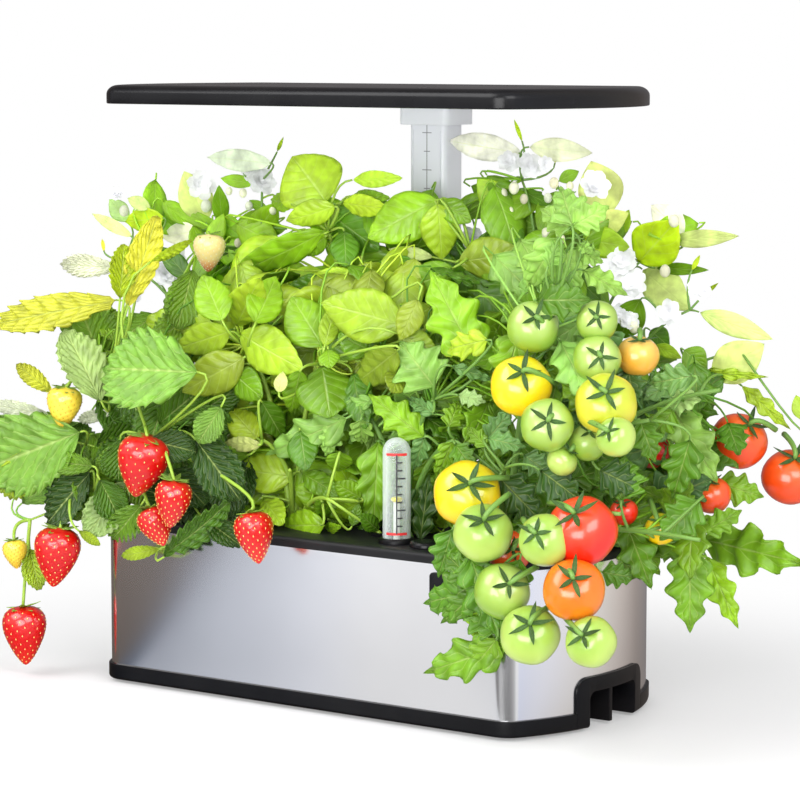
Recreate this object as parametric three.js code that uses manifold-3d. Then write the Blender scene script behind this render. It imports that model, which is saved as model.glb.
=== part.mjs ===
// Countertop hydroponic garden: a steel-wrapped water base with eight planted pods, under a lamp on a
// telescopic post. Millimetres, +Z up, +X along the length, -Y towards the user, origin on the table
// under the middle of the base.
import * as THREE from 'three';
import { mergeVertices } from 'three/addons/utils/BufferGeometryUtils.js';
import Module from 'manifold-3d';

const wasm = await Module();
wasm.setup();

// Driving dimensions.

// Plan of the base: straight front and back, ends that are shallow arcs, and tight bends between them.
const basePlan = { length: 380, width: 171, endRadius: 145, bendRadius: 18 };
// The lamp repeats the plan of the base.
const lampPlan = { length: 372, width: 174, endRadius: 149, bendRadius: 18 };

const clearance = 0.3;
const overrun = 5;

const foot = { height: 2, radius: 8, endGap: 60, sideGap: 30.5 };

const plinth = {
  low: foot.height, high: 12.6, edgeDrop: 0.8, edgeInset: 2.4, floor: 2.5, wall: 2.4, spigotHeight: 7,
};
const steel = { inset: 2, thickness: 0.8, high: 106.7 };
const handle = {
  halfWidth: 38, top: 34.5, cornerRadius: 10, depth: 26, wall: 2.5,
  pocketHalfWidth: 27, pocketTop: 25, pocketCorner: 5, ribWidth: 4, ribSetback: 4,
};
const tank = { handleGap: 3, trayGap: 4, bendRadius: 12, wall: 2, skirtGap: 0.7 };
const deck = { height: 6.5, plate: 3, inset: 1.4, rimRound: 3, skirtDepth: 4, skirtWall: 1.8 };

// Pods stand in four columns and two rows, at shares of the half length and half width of the base. The
// front row keeps its distance from the gauge.
const podColumnShares = [-0.64, -0.22, 0.22, 0.64];
const podBackRowShare = 0.42;
const pod = {
  flangeRadius: 20, flangeHeight: 2, topRadius: 17, bottomRadius: 12, depth: 44, wall: 1.4,
  slotCount: 4, slotWidth: 5, slotLow: 6, slotHigh: 30, holeGap: 0.9,
};
const podSides = 8;
const sponge = { topRadius: 14.6, bottomRadius: 9.6, length: 36, crown: 2 };

const gauge = {
  columnGap: 19.7, rowGap: 30.5, frontGap: 25, radius: 9, wall: 1.3, height: 67.8, seatDepth: 9,
  collarRadius: 12, collarHeight: 3.4, bushRadius: 10.6, bushDepth: 13, bushFloor: 2,
};
const float = {
  stickRadius: 2.2, stickLength: 68.5, tipRadius: 3.7, tipHeight: 3, tipRise: 29.3, blockRadius: 10,
  blockHeight: 16, guideGap: 0.3,
};
const filler = {
  gaugeGap: 26, frontGap: 21.5, capRadius: 11, capHeight: 4.2, plugRadius: 8, plugDepth: 7, plugWall: 1.6,
  lift: 12,
};

const pole = {
  width: 30, depth: 22, corner: 4, wall: 1.8, backGap: 14.1, length: 198, topGap: 3,
  grooveX: 11, grooveWidth: 0.6, grooveDepth: 0.5,
};
const sleeve = { gap: 0.4, wall: 1.4, height: 114.8, seatDepth: 12 };
const ring = { drop: 7, height: 17, lip: 2.6 };
const dock = { side: 5, front: 3, wellFloor: 54, corner: 3 };
const collar = { lip: 5.5, height: 14.6, corner: 5, neckWidth: 34, neckDepth: 14 };

const lamp = {
  low: 391, height: 12.4, wall: 2.6, roof: 3.2, lowerRound: 0.9, sideHeight: 6,
  crownInset: 8, diffuserRecess: 1.2, diffuserThickness: 1.6, board: 1.6, boardInset: 16, boardDrop: 2,
  bossRadius: 3.5, bossEndGap: 66, bossSideGap: 42,
  ledRowCount: 3, ledColumnCount: 8, ledSize: 4, ledHeight: 0.9, ledPitchX: 38, ledPitchY: 40,
  driverLength: 54, driverWidth: 26, driverHeight: 1.5, driverX: 70,
};

const panel = {
  endGap: 63, drop: 17.2, width: 46, height: 24, corner: 3, proud: 1.4, neckInset: 2, neckDepth: 0.9,
};
const button = {
  radius: 4, proud: 0.7, flangeRadius: 5, flangeThickness: 0.8, gap: 0.3, pitch: 11.6, travel: 0.8,
};
const board = { width: 42, height: 22, thickness: 1.2, switchSize: 4, switchHeight: 0.7 };

const jack = {
  z: 32, radius: 5.2, bore: 3, boreDepth: 8, length: 11, flangeRadius: 7, flange: 1.2, pin: 0.9,
};

const pump = {
  x: 0, y: 8, length: 46, width: 34, height: 28, corner: 4, chamberRadius: 12, chamberDepth: 9,
  coverThickness: 2.5, slotCount: 5, slotWidth: 2, slotHeight: 14, slotPitch: 5,
  nozzleRadius: 4.5, nozzleBore: 3, nozzleHeight: 8,
};
const impeller = {
  radius: 9.5, hub: 3, shaft: 1.4, bladeCount: 6, bladeThickness: 1.4, length: 6, endGap: 0.5,
};
const outlet = { radius: 6.8, wall: 1.5, bendRadius: 14, reach: 40 };

// The room that the plants fill: how far they reach from the middle of the base, and their lowest leaf.
const canopy = { reachX: 300, reachY: 134, low: 8, lampGap: 5, gap: 0.6 };

// Each kind of plant: its crown, the longest reach and height of its shoots, its leaves and its fruit.
const strawberry = {
  crown: 12, stem: 3.4, shoot: 1.7, reach: 165, height: 150,
  leafLength: 60, leafWidth: 56, leafThickness: 2.6, leafDroop: 34, leafRise: 10,
  leafSpotShares: [[1, 0, 1], [0.9, 72, 0.9], [0.9, -72, 0.9]],
  fruitRadius: 17, fruitStretchShare: 1.25,
  fruitSpotShares: [[1, 0, 1]],
};
const basil = {
  crown: 26, stem: 3, shoot: 2, reach: 120, height: 232,
  leafLength: 58, leafWidth: 48, leafThickness: 2.8, leafDroop: 36, leafRise: 14,
  leafSpotShares: [[0.66, 90, 0.9], [0.66, -102, 0.9], [1, 0, 1]],
};
const tomato = {
  crown: 30, stem: 3.8, shoot: 2.2, reach: 180, height: 225,
  leafLength: 56, leafWidth: 44, leafThickness: 2.4, leafDroop: 36, leafRise: 6,
  leafSpotShares: [[0.78, 66, 0.85], [0.78, -66, 0.85], [1, 0, 1]],
  fruitRadius: 19, fruitStretchShare: 0.95,
  fruitSpotShares: [[0.66, 80, 0.9], [1, -30, 1]],
};
const jasmine = {
  crown: 30, stem: 2.6, shoot: 1.7, reach: 215, height: 262,
  leafLength: 50, leafWidth: 32, leafThickness: 2.2, leafDroop: 24, leafRise: 14,
  leafSpotShares: [[0.7, 76, 0.9], [0.7, -84, 0.9], [1, 0, 1]],
};

// The plants in the order of their pods. A shoot is its heading in degrees, and its reach, height and arch
// as shares of the kind's reach and height.
const plants = [
  {
    name: 'strawberry_plant', kind: strawberry,
    leafShootShares: [
      [192, 0.72, 0.66, 0.2], [226, 0.56, 0.24, 0.5], [244, 0.4, 0.62, 0.2], [296, 0.44, 0.5, 0.2],
      [272, 0.42, 0.06, 0.6],
    ],
    fruitShootShares: [
      [282, 0.46, 0.34, 0.4], [323, 0.72, 0.04, 0.5], [221, 0.62, -0.1, 0.8], [213, 0.76, -0.5, 1],
    ],
  },
  {
    name: 'basil_plant_left', kind: basil,
    leafShootShares: [
      [205, 0.42, 0.44, 0.1], [268, 0.26, 0.54, 0.1], [336, 0.5, 0.42, 0.1], [256, 0.3, 0.12, 0.2],
    ],
  },
  {
    name: 'tomato_plant_middle', kind: tomato,
    leafShootShares: [[336, 0.3, 0.42, 0.1], [262, 0.16, 0.34, 0.2], [200, 0.26, 0.2, 0.1]],
  },
  {
    name: 'tomato_plant_right', kind: tomato,
    leafShootShares: [
      [332, 0.42, 0.76, 0.1], [20, 0.68, 0.34, 0.2], [36, 0.66, -0.04, 0.4], [263, 0.42, -0.2, 1.2],
    ],
    fruitShootShares: [
      [318, 0.5, 0.36, 0.2], [340, 0.62, 0.44, 0.2], [290, 0.44, 0.06, 0.3], [322, 0.66, 0.04, 0.3],
      [312, 0.66, -0.2, 0.6], [38, 0.8, 0.18, 0.3],
    ],
  },
  {
    name: 'jasmine_plant_left', kind: jasmine,
    leafShootShares: [
      [184, 0.3, 0.6, 0.1], [174, 0.66, 0.54, 0.1], [80, 0.08, 0.74, 0.1], [120, 0.34, 0.44, 0.1],
    ],
  },
  {
    name: 'basil_plant_back', kind: basil,
    leafShootShares: [
      [268, 0.2, 0.78, 0.1], [190, 0.42, 0.66, 0.1], [96, 0.4, 0.56, 0.1],
    ],
  },
  {
    name: 'basil_plant_right', kind: basil,
    leafShootShares: [
      [290, 0.24, 0.78, 0.1], [330, 0.46, 0.52, 0.1], [80, 0.4, 0.6, 0.1],
    ],
  },
  {
    name: 'jasmine_plant_right', kind: jasmine,
    leafShootShares: [
      [158, 0.2, 0.76, 0.1], [36, 0.18, 0.7, 0.1], [14, 0.42, 0.52, 0.1], [8, 0.64, 0.36, 0.2],
    ],
  },
];

const limbSides = 3;
const crownShare = 2;
const shootSteps = 2;
const outletSteps = 8;
const leafRingShares = [[0.48, 1]];
const leafRootShare = 0.07;
const fruitHoldShare = 0.84;
const fruitDropShare = 0.3;
const endSteps = 8;
const bendSteps = 3;
const roundSides = 12;
const smallSides = 8;
const samePoint = 0.001;

// The middle of each end arc, and of each bend, of a plan.
function planCentres(plan) {
  const endX = plan.length / 2 - plan.endRadius;
  const bendY = plan.width / 2 - plan.bendRadius;
  const bendX = endX + Math.sqrt((plan.endRadius - plan.bendRadius) ** 2 - bendY ** 2);
  return { endX, bendX, bendY, turn: Math.atan2(bendY, bendX - endX) };
}

// The outline of a plan, drawn in by an inset.
function planPoints(plan, inset) {
  const { endX, bendX, bendY, turn } = planCentres(plan);
  const endRadius = plan.endRadius - inset;
  const bendRadius = plan.bendRadius - inset;
  const arcs = [
    [endX, 0, endRadius, -turn, turn, endSteps],
    [bendX, bendY, bendRadius, turn, Math.PI / 2, bendSteps],
    [-bendX, bendY, bendRadius, Math.PI / 2, Math.PI - turn, bendSteps],
    [-endX, 0, endRadius, Math.PI - turn, Math.PI + turn, endSteps],
    [-bendX, -bendY, bendRadius, Math.PI + turn, 1.5 * Math.PI, bendSteps],
    [bendX, -bendY, bendRadius, 1.5 * Math.PI, 2 * Math.PI - turn, bendSteps],
  ];
  const points = arcs.flatMap(([x, y, radius, from, to, steps]) => {
    return new THREE.EllipseCurve(x, y, radius, radius, from, to).getPoints(steps);
  });
  return points.filter((point, at) => point.distanceTo(points.at(at - 1)) > samePoint);
}

// A closed geometry through rings of equally many points, each ring at its own height.
function loftGeometry(rings) {
  const count = rings[0].points.length;
  const positions = [];
  const indices = [];
  for (const ring of rings) {
    for (const point of ring.points) positions.push(point.x, point.y, ring.z);
  }
  for (let level = 0; level + 1 < rings.length; level += 1) {
    const low = level * count;
    const high = low + count;
    for (let at = 0; at < count; at += 1) {
      const next = (at + 1) % count;
      indices.push(low + at, low + next, high + next);
      indices.push(low + at, high + next, high + at);
    }
  }
  const top = (rings.length - 1) * count;
  for (const [a, b, c] of THREE.ShapeUtils.triangulateShape(rings[0].points, [])) {
    indices.push(c, b, a);
  }
  for (const [a, b, c] of THREE.ShapeUtils.triangulateShape(rings.at(-1).points, [])) {
    indices.push(top + a, top + b, top + c);
  }
  const geometry = new THREE.BufferGeometry();
  geometry.setAttribute('position', new THREE.Float32BufferAttribute(positions, 3));
  geometry.setIndex(indices);
  return geometry;
}

// A closed geometry as a solid that can be joined and cut.
function solidOf(source) {
  const bare = source.clone();
  bare.deleteAttribute('normal');
  bare.deleteAttribute('uv');
  const merged = mergeVertices(bare, samePoint);
  const vertProperties = Float32Array.from(merged.attributes.position.array);
  const triVerts = Uint32Array.from(merged.index.array);
  return new wasm.Manifold(new wasm.Mesh({ numProp: 3, vertProperties, triVerts }));
}

function geometryOf(solid) {
  const { vertProperties, triVerts } = solid.getMesh();
  const geometry = new THREE.BufferGeometry();
  geometry.setAttribute('position', new THREE.Float32BufferAttribute(vertProperties, 3));
  geometry.setIndex(Array.from(triVerts));
  return geometry;
}

function planSolid(plan, levels) {
  return solidOf(loftGeometry(levels.map(([inset, z]) => ({ points: planPoints(plan, inset), z }))));
}

function block(width, depth, low, high, x = 0, y = 0) {
  const geometry = new THREE.BoxGeometry(width, depth, high - low);
  return solidOf(geometry.translate(x, y, (low + high) / 2));
}

// A round bar along Z, which may taper from its lower to its upper radius.
function bar(lowRadius, highRadius, low, high, x = 0, y = 0, sides = roundSides) {
  const geometry = new THREE.CylinderGeometry(highRadius, lowRadius, high - low, sides);
  return solidOf(geometry.rotateX(Math.PI / 2).translate(x, y, (low + high) / 2));
}

// A round bar along Y, from its front to its back.
function barAlongY(radius, front, back, x, z, sides = roundSides) {
  const geometry = new THREE.CylinderGeometry(radius, radius, back - front, sides);
  return solidOf(geometry.translate(x, (front + back) / 2, z));
}

// Turns a profile of [radius, height] points about the Z axis.
function turned(profile, x = 0, y = 0, sides = roundSides) {
  const points = profile.map(([radius, height]) => new THREE.Vector2(radius, height));
  const geometry = new THREE.LatheGeometry(points, sides);
  return solidOf(geometry.rotateX(Math.PI / 2).translate(x, y, 0));
}

function roundedShape(width, height, radius) {
  const x = width / 2 - radius;
  const y = height / 2 - radius;
  const shape = new THREE.Shape();
  shape.absarc(x, y, radius, 0, Math.PI / 2);
  shape.absarc(-x, y, radius, Math.PI / 2, Math.PI);
  shape.absarc(-x, -y, radius, Math.PI, 1.5 * Math.PI);
  shape.absarc(x, -y, radius, 1.5 * Math.PI, 2 * Math.PI);
  return shape;
}

const cornerSteps = 2;

// A bar along Z with rounded corners.
function roundedBar(width, depth, radius, low, high, x = 0, y = 0) {
  const shape = roundedShape(width, depth, radius);
  const options = { depth: high - low, bevelEnabled: false, curveSegments: cornerSteps };
  return solidOf(new THREE.ExtrudeGeometry(shape, options).translate(x, y, low));
}

// A plate that stands in the XZ plane, from its front to its back, with rounded corners.
function roundedPlate(width, height, radius, front, back, x, z) {
  const shape = roundedShape(width, height, radius);
  const options = { depth: back - front, bevelEnabled: false, curveSegments: cornerSteps };
  const geometry = new THREE.ExtrudeGeometry(shape, options).rotateX(Math.PI / 2);
  return solidOf(geometry.translate(x, back, z));
}

// An arch in the YZ plane that is open below, from its inner to its outer X.
function archSolid(halfWidth, top, cornerRadius, low, inner, outer) {
  const shape = new THREE.Shape();
  shape.moveTo(-halfWidth, low);
  shape.lineTo(halfWidth, low);
  shape.absarc(halfWidth - cornerRadius, top - cornerRadius, cornerRadius, 0, Math.PI / 2);
  shape.absarc(cornerRadius - halfWidth, top - cornerRadius, cornerRadius, Math.PI / 2, Math.PI);
  const options = { depth: outer - inner, bevelEnabled: false, curveSegments: cornerSteps };
  const axes = new THREE.Matrix4().makeBasis(
    new THREE.Vector3(0, 1, 0),
    new THREE.Vector3(0, 0, 1),
    new THREE.Vector3(1, 0, 0),
  );
  const geometry = new THREE.ExtrudeGeometry(shape, options).applyMatrix4(axes);
  return solidOf(geometry.translate(inner, 0, 0));
}

// Surface finishes.
const finishes = {
  blackPlastic: { color: 0x17181a, roughness: 0.38, metalness: 0 },
  blackMatte: { color: 0x1b1c1e, roughness: 0.6, metalness: 0 },
  steel: { color: 0xc9c9cf, roughness: 0.28, metalness: 1 },
  greyPlastic: { color: 0xc3c6cc, roughness: 0.42, metalness: 0 },
  whitePlastic: { color: 0xf2f2f0, roughness: 0.5, metalness: 0 },
  clear: { color: 0xdfe8e8, roughness: 0.08, metalness: 0, transparent: true, opacity: 0.35 },
  yellow: { color: 0xf2d90f, roughness: 0.45, metalness: 0 },
  rubber: { color: 0x222222, roughness: 0.85, metalness: 0 },
  foam: { color: 0x6a4a32, roughness: 0.95, metalness: 0 },
  circuit: { color: 0x1c5b34, roughness: 0.5, metalness: 0.1 },
  metal: { color: 0xb9bcc0, roughness: 0.35, metalness: 1 },
  leaf: { color: 0x6fa52c, roughness: 0.5, metalness: 0 },
};

const garden = new THREE.Group();

function place(name, solid, finish) {
  const mesh = new THREE.Mesh(geometryOf(solid), new THREE.MeshStandardMaterial(finishes[finish]));
  mesh.name = name;
  garden.add(mesh);
}

const ends = [['right', 1], ['left', -1]];
const halfLength = basePlan.length / 2;
const halfWidth = basePlan.width / 2;

// Heights that several pieces share.
const tankLow = plinth.low + plinth.floor;
const deckHigh = steel.high + deck.height;
const deckUnder = deckHigh - deck.plate;
const skirtLow = steel.high - deck.skirtDepth;
const tankHigh = skirtLow - tank.skirtGap;
const gaugeHigh = deckHigh + gauge.height;
const sleeveHigh = deckHigh + sleeve.height;
const ringLow = sleeveHigh - ring.drop;
const ringHigh = ringLow + ring.height;
const lampHigh = lamp.low + lamp.height;
const lampRoofLow = lampHigh - lamp.roof;
const lampBoardTop = lampRoofLow - lamp.boardDrop;
const poleHigh = lamp.low - pole.topGap;
const poleLow = poleHigh - pole.length;
const collarLow = lamp.low - collar.height;

// Insets from the outside of the base that several pieces share.
const steelInnerInset = steel.inset + steel.thickness;
const spigotInset = steelInnerInset + clearance;
const trayInset = spigotInset + plinth.wall;

// Places on the deck.
const podXs = podColumnShares.map((share) => share * halfLength);
const gaugeX = podXs[2] + gauge.columnGap;
const gaugeY = gauge.frontGap - halfWidth;
const podYs = [gaugeY + gauge.rowGap, podBackRowShare * halfWidth];
const fillerX = gaugeX + filler.gaugeGap;
const fillerY = filler.frontGap - halfWidth;
const panelX = halfLength - panel.endGap;
const panelZ = steel.high - panel.drop;
const poleY = halfWidth - pole.backGap;

// The post dock stands in a gap at the back of the steel wrap and carries the sleeve.
const wellWidth = pole.width + 2 * sleeve.gap;
const wellDepth = pole.depth + 2 * sleeve.gap;
const dockHalfWidth = wellWidth / 2 + dock.side;
const dockFront = poleY - wellDepth / 2 - dock.front;
const dockBack = halfWidth;

function dockEnvelope(gap, low, high) {
  const depth = dockBack - dockFront + gap + overrun;
  const y = dockFront - gap + depth / 2;
  return roundedBar(2 * (dockHalfWidth + gap), depth, dock.corner, low, high, 0, y);
}

// The envelope of a hand recess: its face frame outside the steel, and its pocket through it.
function handleFace(side, gap) {
  const inner = halfLength - handle.depth;
  const face = archSolid(handle.halfWidth + gap, handle.top + gap, handle.cornerRadius,
    foot.height - overrun, inner, halfLength + overrun);
  return side > 0 ? face : face.mirror([1, 0, 0]);
}

function handlePocket(side, gap, wall) {
  const pocket = archSolid(handle.pocketHalfWidth + wall + gap, handle.pocketTop + wall + gap,
    handle.pocketCorner, foot.height - overrun, halfLength - handle.depth - gap + (handle.wall - wall),
    halfLength + overrun);
  return side > 0 ? pocket : pocket.mirror([1, 0, 0]);
}

// The outside of the base up to a height, with the rounded lower edge of the plinth.
function plinthOutside(top) {
  return planSolid(basePlan, [
    [plinth.edgeInset, plinth.low],
    [plinth.edgeDrop, plinth.low + plinth.edgeDrop],
    [0, plinth.low + plinth.edgeInset],
    [0, top],
  ]);
}

function buildPlinth() {
  let solid = plinthOutside(plinth.high);
  const spigotTop = plinth.high + plinth.spigotHeight;
  solid = solid.add(planSolid(basePlan, [[spigotInset, tankLow], [spigotInset, spigotTop]]));
  solid = solid.subtract(planSolid(basePlan, [[trayInset, tankLow], [trayInset, spigotTop + overrun]]));
  const faceDepth = planSolid(basePlan, [[steel.inset, 0], [steel.inset, plinth.high + overrun]]);
  for (const [, side] of ends) {
    const face = handleFace(side, clearance).subtract(faceDepth);
    solid = solid.subtract(face).subtract(handlePocket(side, clearance, handle.wall));
  }
  const dockCut = dockEnvelope(clearance, plinth.high, spigotTop + overrun);
  place('base_plinth', solid.subtract(dockCut), 'blackPlastic');
}

function buildFeet() {
  let number = 1;
  const footX = halfLength - foot.endGap;
  const footY = halfWidth - foot.sideGap;
  for (const x of [-footX, footX]) {
    for (const y of [-footY, footY]) {
      place(`foot_${number}`, bar(foot.radius, foot.radius, 0, foot.height, x, y), 'rubber');
      number += 1;
    }
  }
}

function buildHandles() {
  const reach = handle.top + overrun;
  const body = plinthOutside(reach);
  const faceInset = steel.inset - clearance;
  const behindFace = planSolid(basePlan, [[faceInset, 0], [faceInset, reach + overrun]]);
  for (const [name, side] of ends) {
    const face = handleFace(side, 0).subtract(behindFace);
    const hollow = handlePocket(side, 0, 0);
    const ribInner = halfLength - handle.depth + handle.wall / 2;
    const ribOuter = halfLength - handle.ribSetback;
    const ribTop = handle.pocketTop + handle.wall / 2;
    const ribMiddle = side * (ribInner + ribOuter) / 2;
    const rib = block(ribOuter - ribInner, handle.ribWidth, plinth.low, ribTop, ribMiddle);
    const frame = face.add(handlePocket(side, 0, handle.wall)).subtract(hollow).add(rib);
    place(`handle_frame_${name}`, frame.intersect(body), 'blackPlastic');
  }
}

function buildSteel() {
  let solid = planSolid(basePlan, [[steel.inset, plinth.high], [steel.inset, steel.high]]);
  const top = steel.high + overrun;
  solid = solid.subtract(planSolid(basePlan, [[steelInnerInset, 0], [steelInnerInset, top]]));
  for (const [, side] of ends) solid = solid.subtract(handlePocket(side, clearance, handle.wall));
  solid = solid.subtract(dockEnvelope(clearance, 0, steel.high + overrun));
  const neckWidth = panel.width - 2 * panel.neckInset + 2 * clearance;
  const neckHeight = panel.height - 2 * panel.neckInset + 2 * clearance;
  const opening = roundedPlate(neckWidth, neckHeight, panel.corner - panel.neckInset + clearance,
    -halfWidth - overrun, steelInnerInset - halfWidth + overrun, panelX, panelZ);
  place('steel_wrap', solid.subtract(opening), 'steel');
}

function buildTank() {
  const plan = {
    ...basePlan, length: 2 * (halfLength - handle.depth - tank.handleGap),
    width: 2 * (halfWidth - trayInset - tank.trayGap), bendRadius: tank.bendRadius,
  };
  const niche = dockEnvelope(clearance, 0, tankHigh + overrun);
  const nicheWall = dockEnvelope(clearance + tank.wall, 0, tankHigh + overrun);
  const outer = planSolid(plan, [[0, tankLow], [0, tankHigh]]).subtract(niche);
  const floor = tankLow + tank.wall;
  const inner = planSolid(plan, [[tank.wall, floor], [tank.wall, tankHigh + overrun]]);
  place('water_tank', outer.subtract(inner.subtract(nicheWall)), 'blackMatte');
}

function eachPod(visit) {
  podYs.forEach((y, row) => podXs.forEach((x, column) => {
    visit(x, y, row * podXs.length + column + 1);
  }));
}

function buildDeck() {
  let solid = planSolid(basePlan, [
    [deck.inset, steel.high],
    [deck.inset, deckHigh - deck.rimRound],
    [deck.inset + deck.rimRound / 3, deckHigh - deck.rimRound / 3],
    [deck.inset + deck.rimRound, deckHigh],
  ]);
  solid = solid.add(planSolid(basePlan, [[spigotInset, skirtLow], [spigotInset, deckUnder]]));
  const hollowInset = spigotInset + deck.skirtWall;
  solid = solid.subtract(planSolid(basePlan, [[hollowInset, skirtLow - overrun], [hollowInset, deckUnder]]));
  eachPod((x, y) => {
    const hole = pod.topRadius + pod.holeGap;
    solid = solid.subtract(bar(hole, hole, deckUnder - overrun, deckHigh + overrun, x, y));
  });
  const fittings = [
    [gaugeX, gaugeY, gauge.bushRadius + clearance], [fillerX, fillerY, filler.plugRadius + clearance],
  ];
  for (const [x, y, radius] of fittings) {
    solid = solid.subtract(bar(radius, radius, deckUnder - overrun, deckHigh + overrun, x, y));
  }
  solid = solid.subtract(dockEnvelope(clearance, skirtLow - overrun, deckHigh + overrun));
  place('grow_deck', solid, 'blackMatte');
}

function buildPods() {
  const flangeTop = deckHigh + pod.flangeHeight;
  const low = deckHigh - pod.depth;
  const inner = (radius) => radius - pod.wall;
  const cup = [
    [0, low], [pod.bottomRadius, low], [pod.topRadius, deckHigh], [pod.flangeRadius, deckHigh],
    [pod.flangeRadius, flangeTop], [inner(pod.topRadius), flangeTop], [inner(pod.topRadius), deckHigh],
    [inner(pod.bottomRadius), low + pod.wall], [0, low + pod.wall],
  ];
  const spongeTop = flangeTop - sponge.crown;
  eachPod((x, y, number) => {
    let basket = turned(cup, x, y, podSides);
    for (let at = 0; at < pod.slotCount / 2; at += 1) {
      const cutter = new THREE.BoxGeometry(pod.slotWidth, 2 * pod.flangeRadius, pod.slotHigh - pod.slotLow);
      cutter.translate(0, 0, low + (pod.slotLow + pod.slotHigh) / 2);
      cutter.rotateZ((at * 2 * Math.PI) / pod.slotCount);
      basket = basket.subtract(solidOf(cutter.translate(x, y, 0)));
    }
    place(`pod_basket_${number}`, basket, 'blackPlastic');
    const plug = [
      [0, spongeTop - sponge.length], [sponge.bottomRadius, spongeTop - sponge.length],
      [sponge.topRadius, spongeTop - sponge.crown], [0, spongeTop],
    ];
    place(`grow_sponge_${number}`, turned(plug, x, y, podSides), 'foam');
  });
}

function buildGauge() {
  const seat = deckHigh - gauge.seatDepth;
  const bore = gauge.radius - gauge.wall;
  const dome = [];
  const coreDome = [];
  for (let at = 0; at <= cornerSteps * 2; at += 1) {
    const angle = (at / (cornerSteps * 2)) * (Math.PI / 2);
    dome.push([gauge.radius * Math.cos(angle), gaugeHigh - gauge.radius * (1 - Math.sin(angle))]);
    coreDome.push([bore * Math.cos(angle), gaugeHigh - gauge.radius + bore * Math.sin(angle)]);
  }
  dome.at(-1)[0] = 0;
  coreDome.at(-1)[0] = 0;
  const shell = turned([[0, seat], [gauge.radius, seat], ...dome], gaugeX, gaugeY);
  const core = turned([[0, seat - overrun], [bore, seat - overrun], ...coreDome], gaugeX, gaugeY);
  place('gauge_tube', shell.subtract(core), 'clear');

  const bushLow = deckHigh - gauge.bushDepth;
  const tubeHole = gauge.radius + clearance;
  const stickHole = float.stickRadius + float.guideGap;
  const collarTop = deckHigh + gauge.collarHeight;
  place('gauge_collar', turned([
    [stickHole, bushLow], [gauge.bushRadius, bushLow], [gauge.bushRadius, deckHigh],
    [gauge.collarRadius, deckHigh], [gauge.collarRadius, collarTop - gauge.wall],
    [gauge.collarRadius - gauge.wall, collarTop], [tubeHole, collarTop],
    [tubeHole, bushLow + gauge.bushFloor], [stickHole, bushLow + gauge.bushFloor], [stickHole, bushLow],
  ], gaugeX, gaugeY), 'blackPlastic');

  const tipTop = deckHigh + float.tipRise;
  const tipLow = tipTop - float.tipHeight;
  const blockTop = tipLow - float.stickLength;
  const stick = bar(float.stickRadius, float.stickRadius, blockTop, tipLow, gaugeX, gaugeY, smallSides);
  place('float_stick', stick, 'whitePlastic');
  place('float_tip', turned([
    [0, tipLow], [float.tipRadius, tipLow], [float.tipRadius, tipLow + float.tipHeight / 2],
    [float.stickRadius, tipTop], [0, tipTop],
  ], gaugeX, gaugeY, smallSides), 'yellow');
  const blockLow = blockTop - float.blockHeight;
  place('float_block', bar(float.blockRadius, float.blockRadius, blockLow, blockTop, gaugeX, gaugeY),
    'whitePlastic');
}

function buildFillCap() {
  const crown = deckHigh + filler.capHeight;
  const plugInner = filler.plugRadius - filler.plugWall;
  place('fill_cap', turned([
    [0, deckHigh], [plugInner, deckHigh], [plugInner, deckHigh - filler.plugDepth],
    [filler.plugRadius, deckHigh - filler.plugDepth], [filler.plugRadius, deckHigh],
    [filler.capRadius, deckHigh], [filler.capRadius, deckHigh + filler.capHeight / 2],
    [filler.plugRadius, crown - filler.capHeight / 6], [filler.plugRadius / 2, crown], [0, crown],
  ], fillerX, fillerY), 'blackPlastic');
}

function buildPost() {
  const outerWidth = wellWidth + 2 * sleeve.wall;
  const outerDepth = wellDepth + 2 * sleeve.wall;
  const sleeveLow = deckHigh - sleeve.seatDepth;
  const well = roundedBar(wellWidth, wellDepth, pole.corner + sleeve.gap, dock.wellFloor,
    ringHigh + overrun, 0, poleY);
  const seat = roundedBar(outerWidth + 2 * clearance, outerDepth + 2 * clearance,
    pole.corner + sleeve.gap + sleeve.wall, sleeveLow, deckHigh + overrun, 0, poleY);
  const shell = planSolid(basePlan, [[0, plinth.high], [0, deckHigh]]);
  const jackHole = barAlongY(jack.radius + clearance, dockBack - jack.length - clearance,
    dockBack + overrun, 0, jack.z);
  const body = dockEnvelope(0, plinth.high, deckHigh).intersect(shell);
  place('post_dock', body.subtract(well).subtract(seat).subtract(jackHole), 'blackPlastic');

  const tube = roundedBar(outerWidth, outerDepth, pole.corner + sleeve.gap + sleeve.wall, sleeveLow,
    sleeveHigh, 0, poleY);
  place('post_sleeve', tube.subtract(well), 'greyPlastic');

  const ringOuter = roundedBar(outerWidth + 2 * ring.lip, outerDepth + 2 * ring.lip,
    pole.corner + sleeve.wall + ring.lip, ringLow, ringHigh, 0, poleY);
  const ringSeat = roundedBar(outerWidth + 2 * clearance, outerDepth + 2 * clearance,
    pole.corner + sleeve.gap + sleeve.wall, ringLow - overrun, sleeveHigh, 0, poleY);
  place('sleeve_ring', ringOuter.subtract(ringSeat).subtract(well), 'greyPlastic');

  let mast = roundedBar(pole.width, pole.depth, pole.corner, poleLow, poleHigh, 0, poleY);
  mast = mast.subtract(roundedBar(pole.width - 2 * pole.wall, pole.depth - 2 * pole.wall,
    pole.corner - pole.wall, poleLow - overrun, poleHigh + overrun, 0, poleY));
  const front = poleY - pole.depth / 2;
  for (const side of [-1, 1]) {
    mast = mast.subtract(block(pole.grooveWidth, 2 * pole.grooveDepth, poleLow - overrun, collarLow,
      side * pole.grooveX, front));
  }
  place('post_pole', mast, 'greyPlastic');
}

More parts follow.
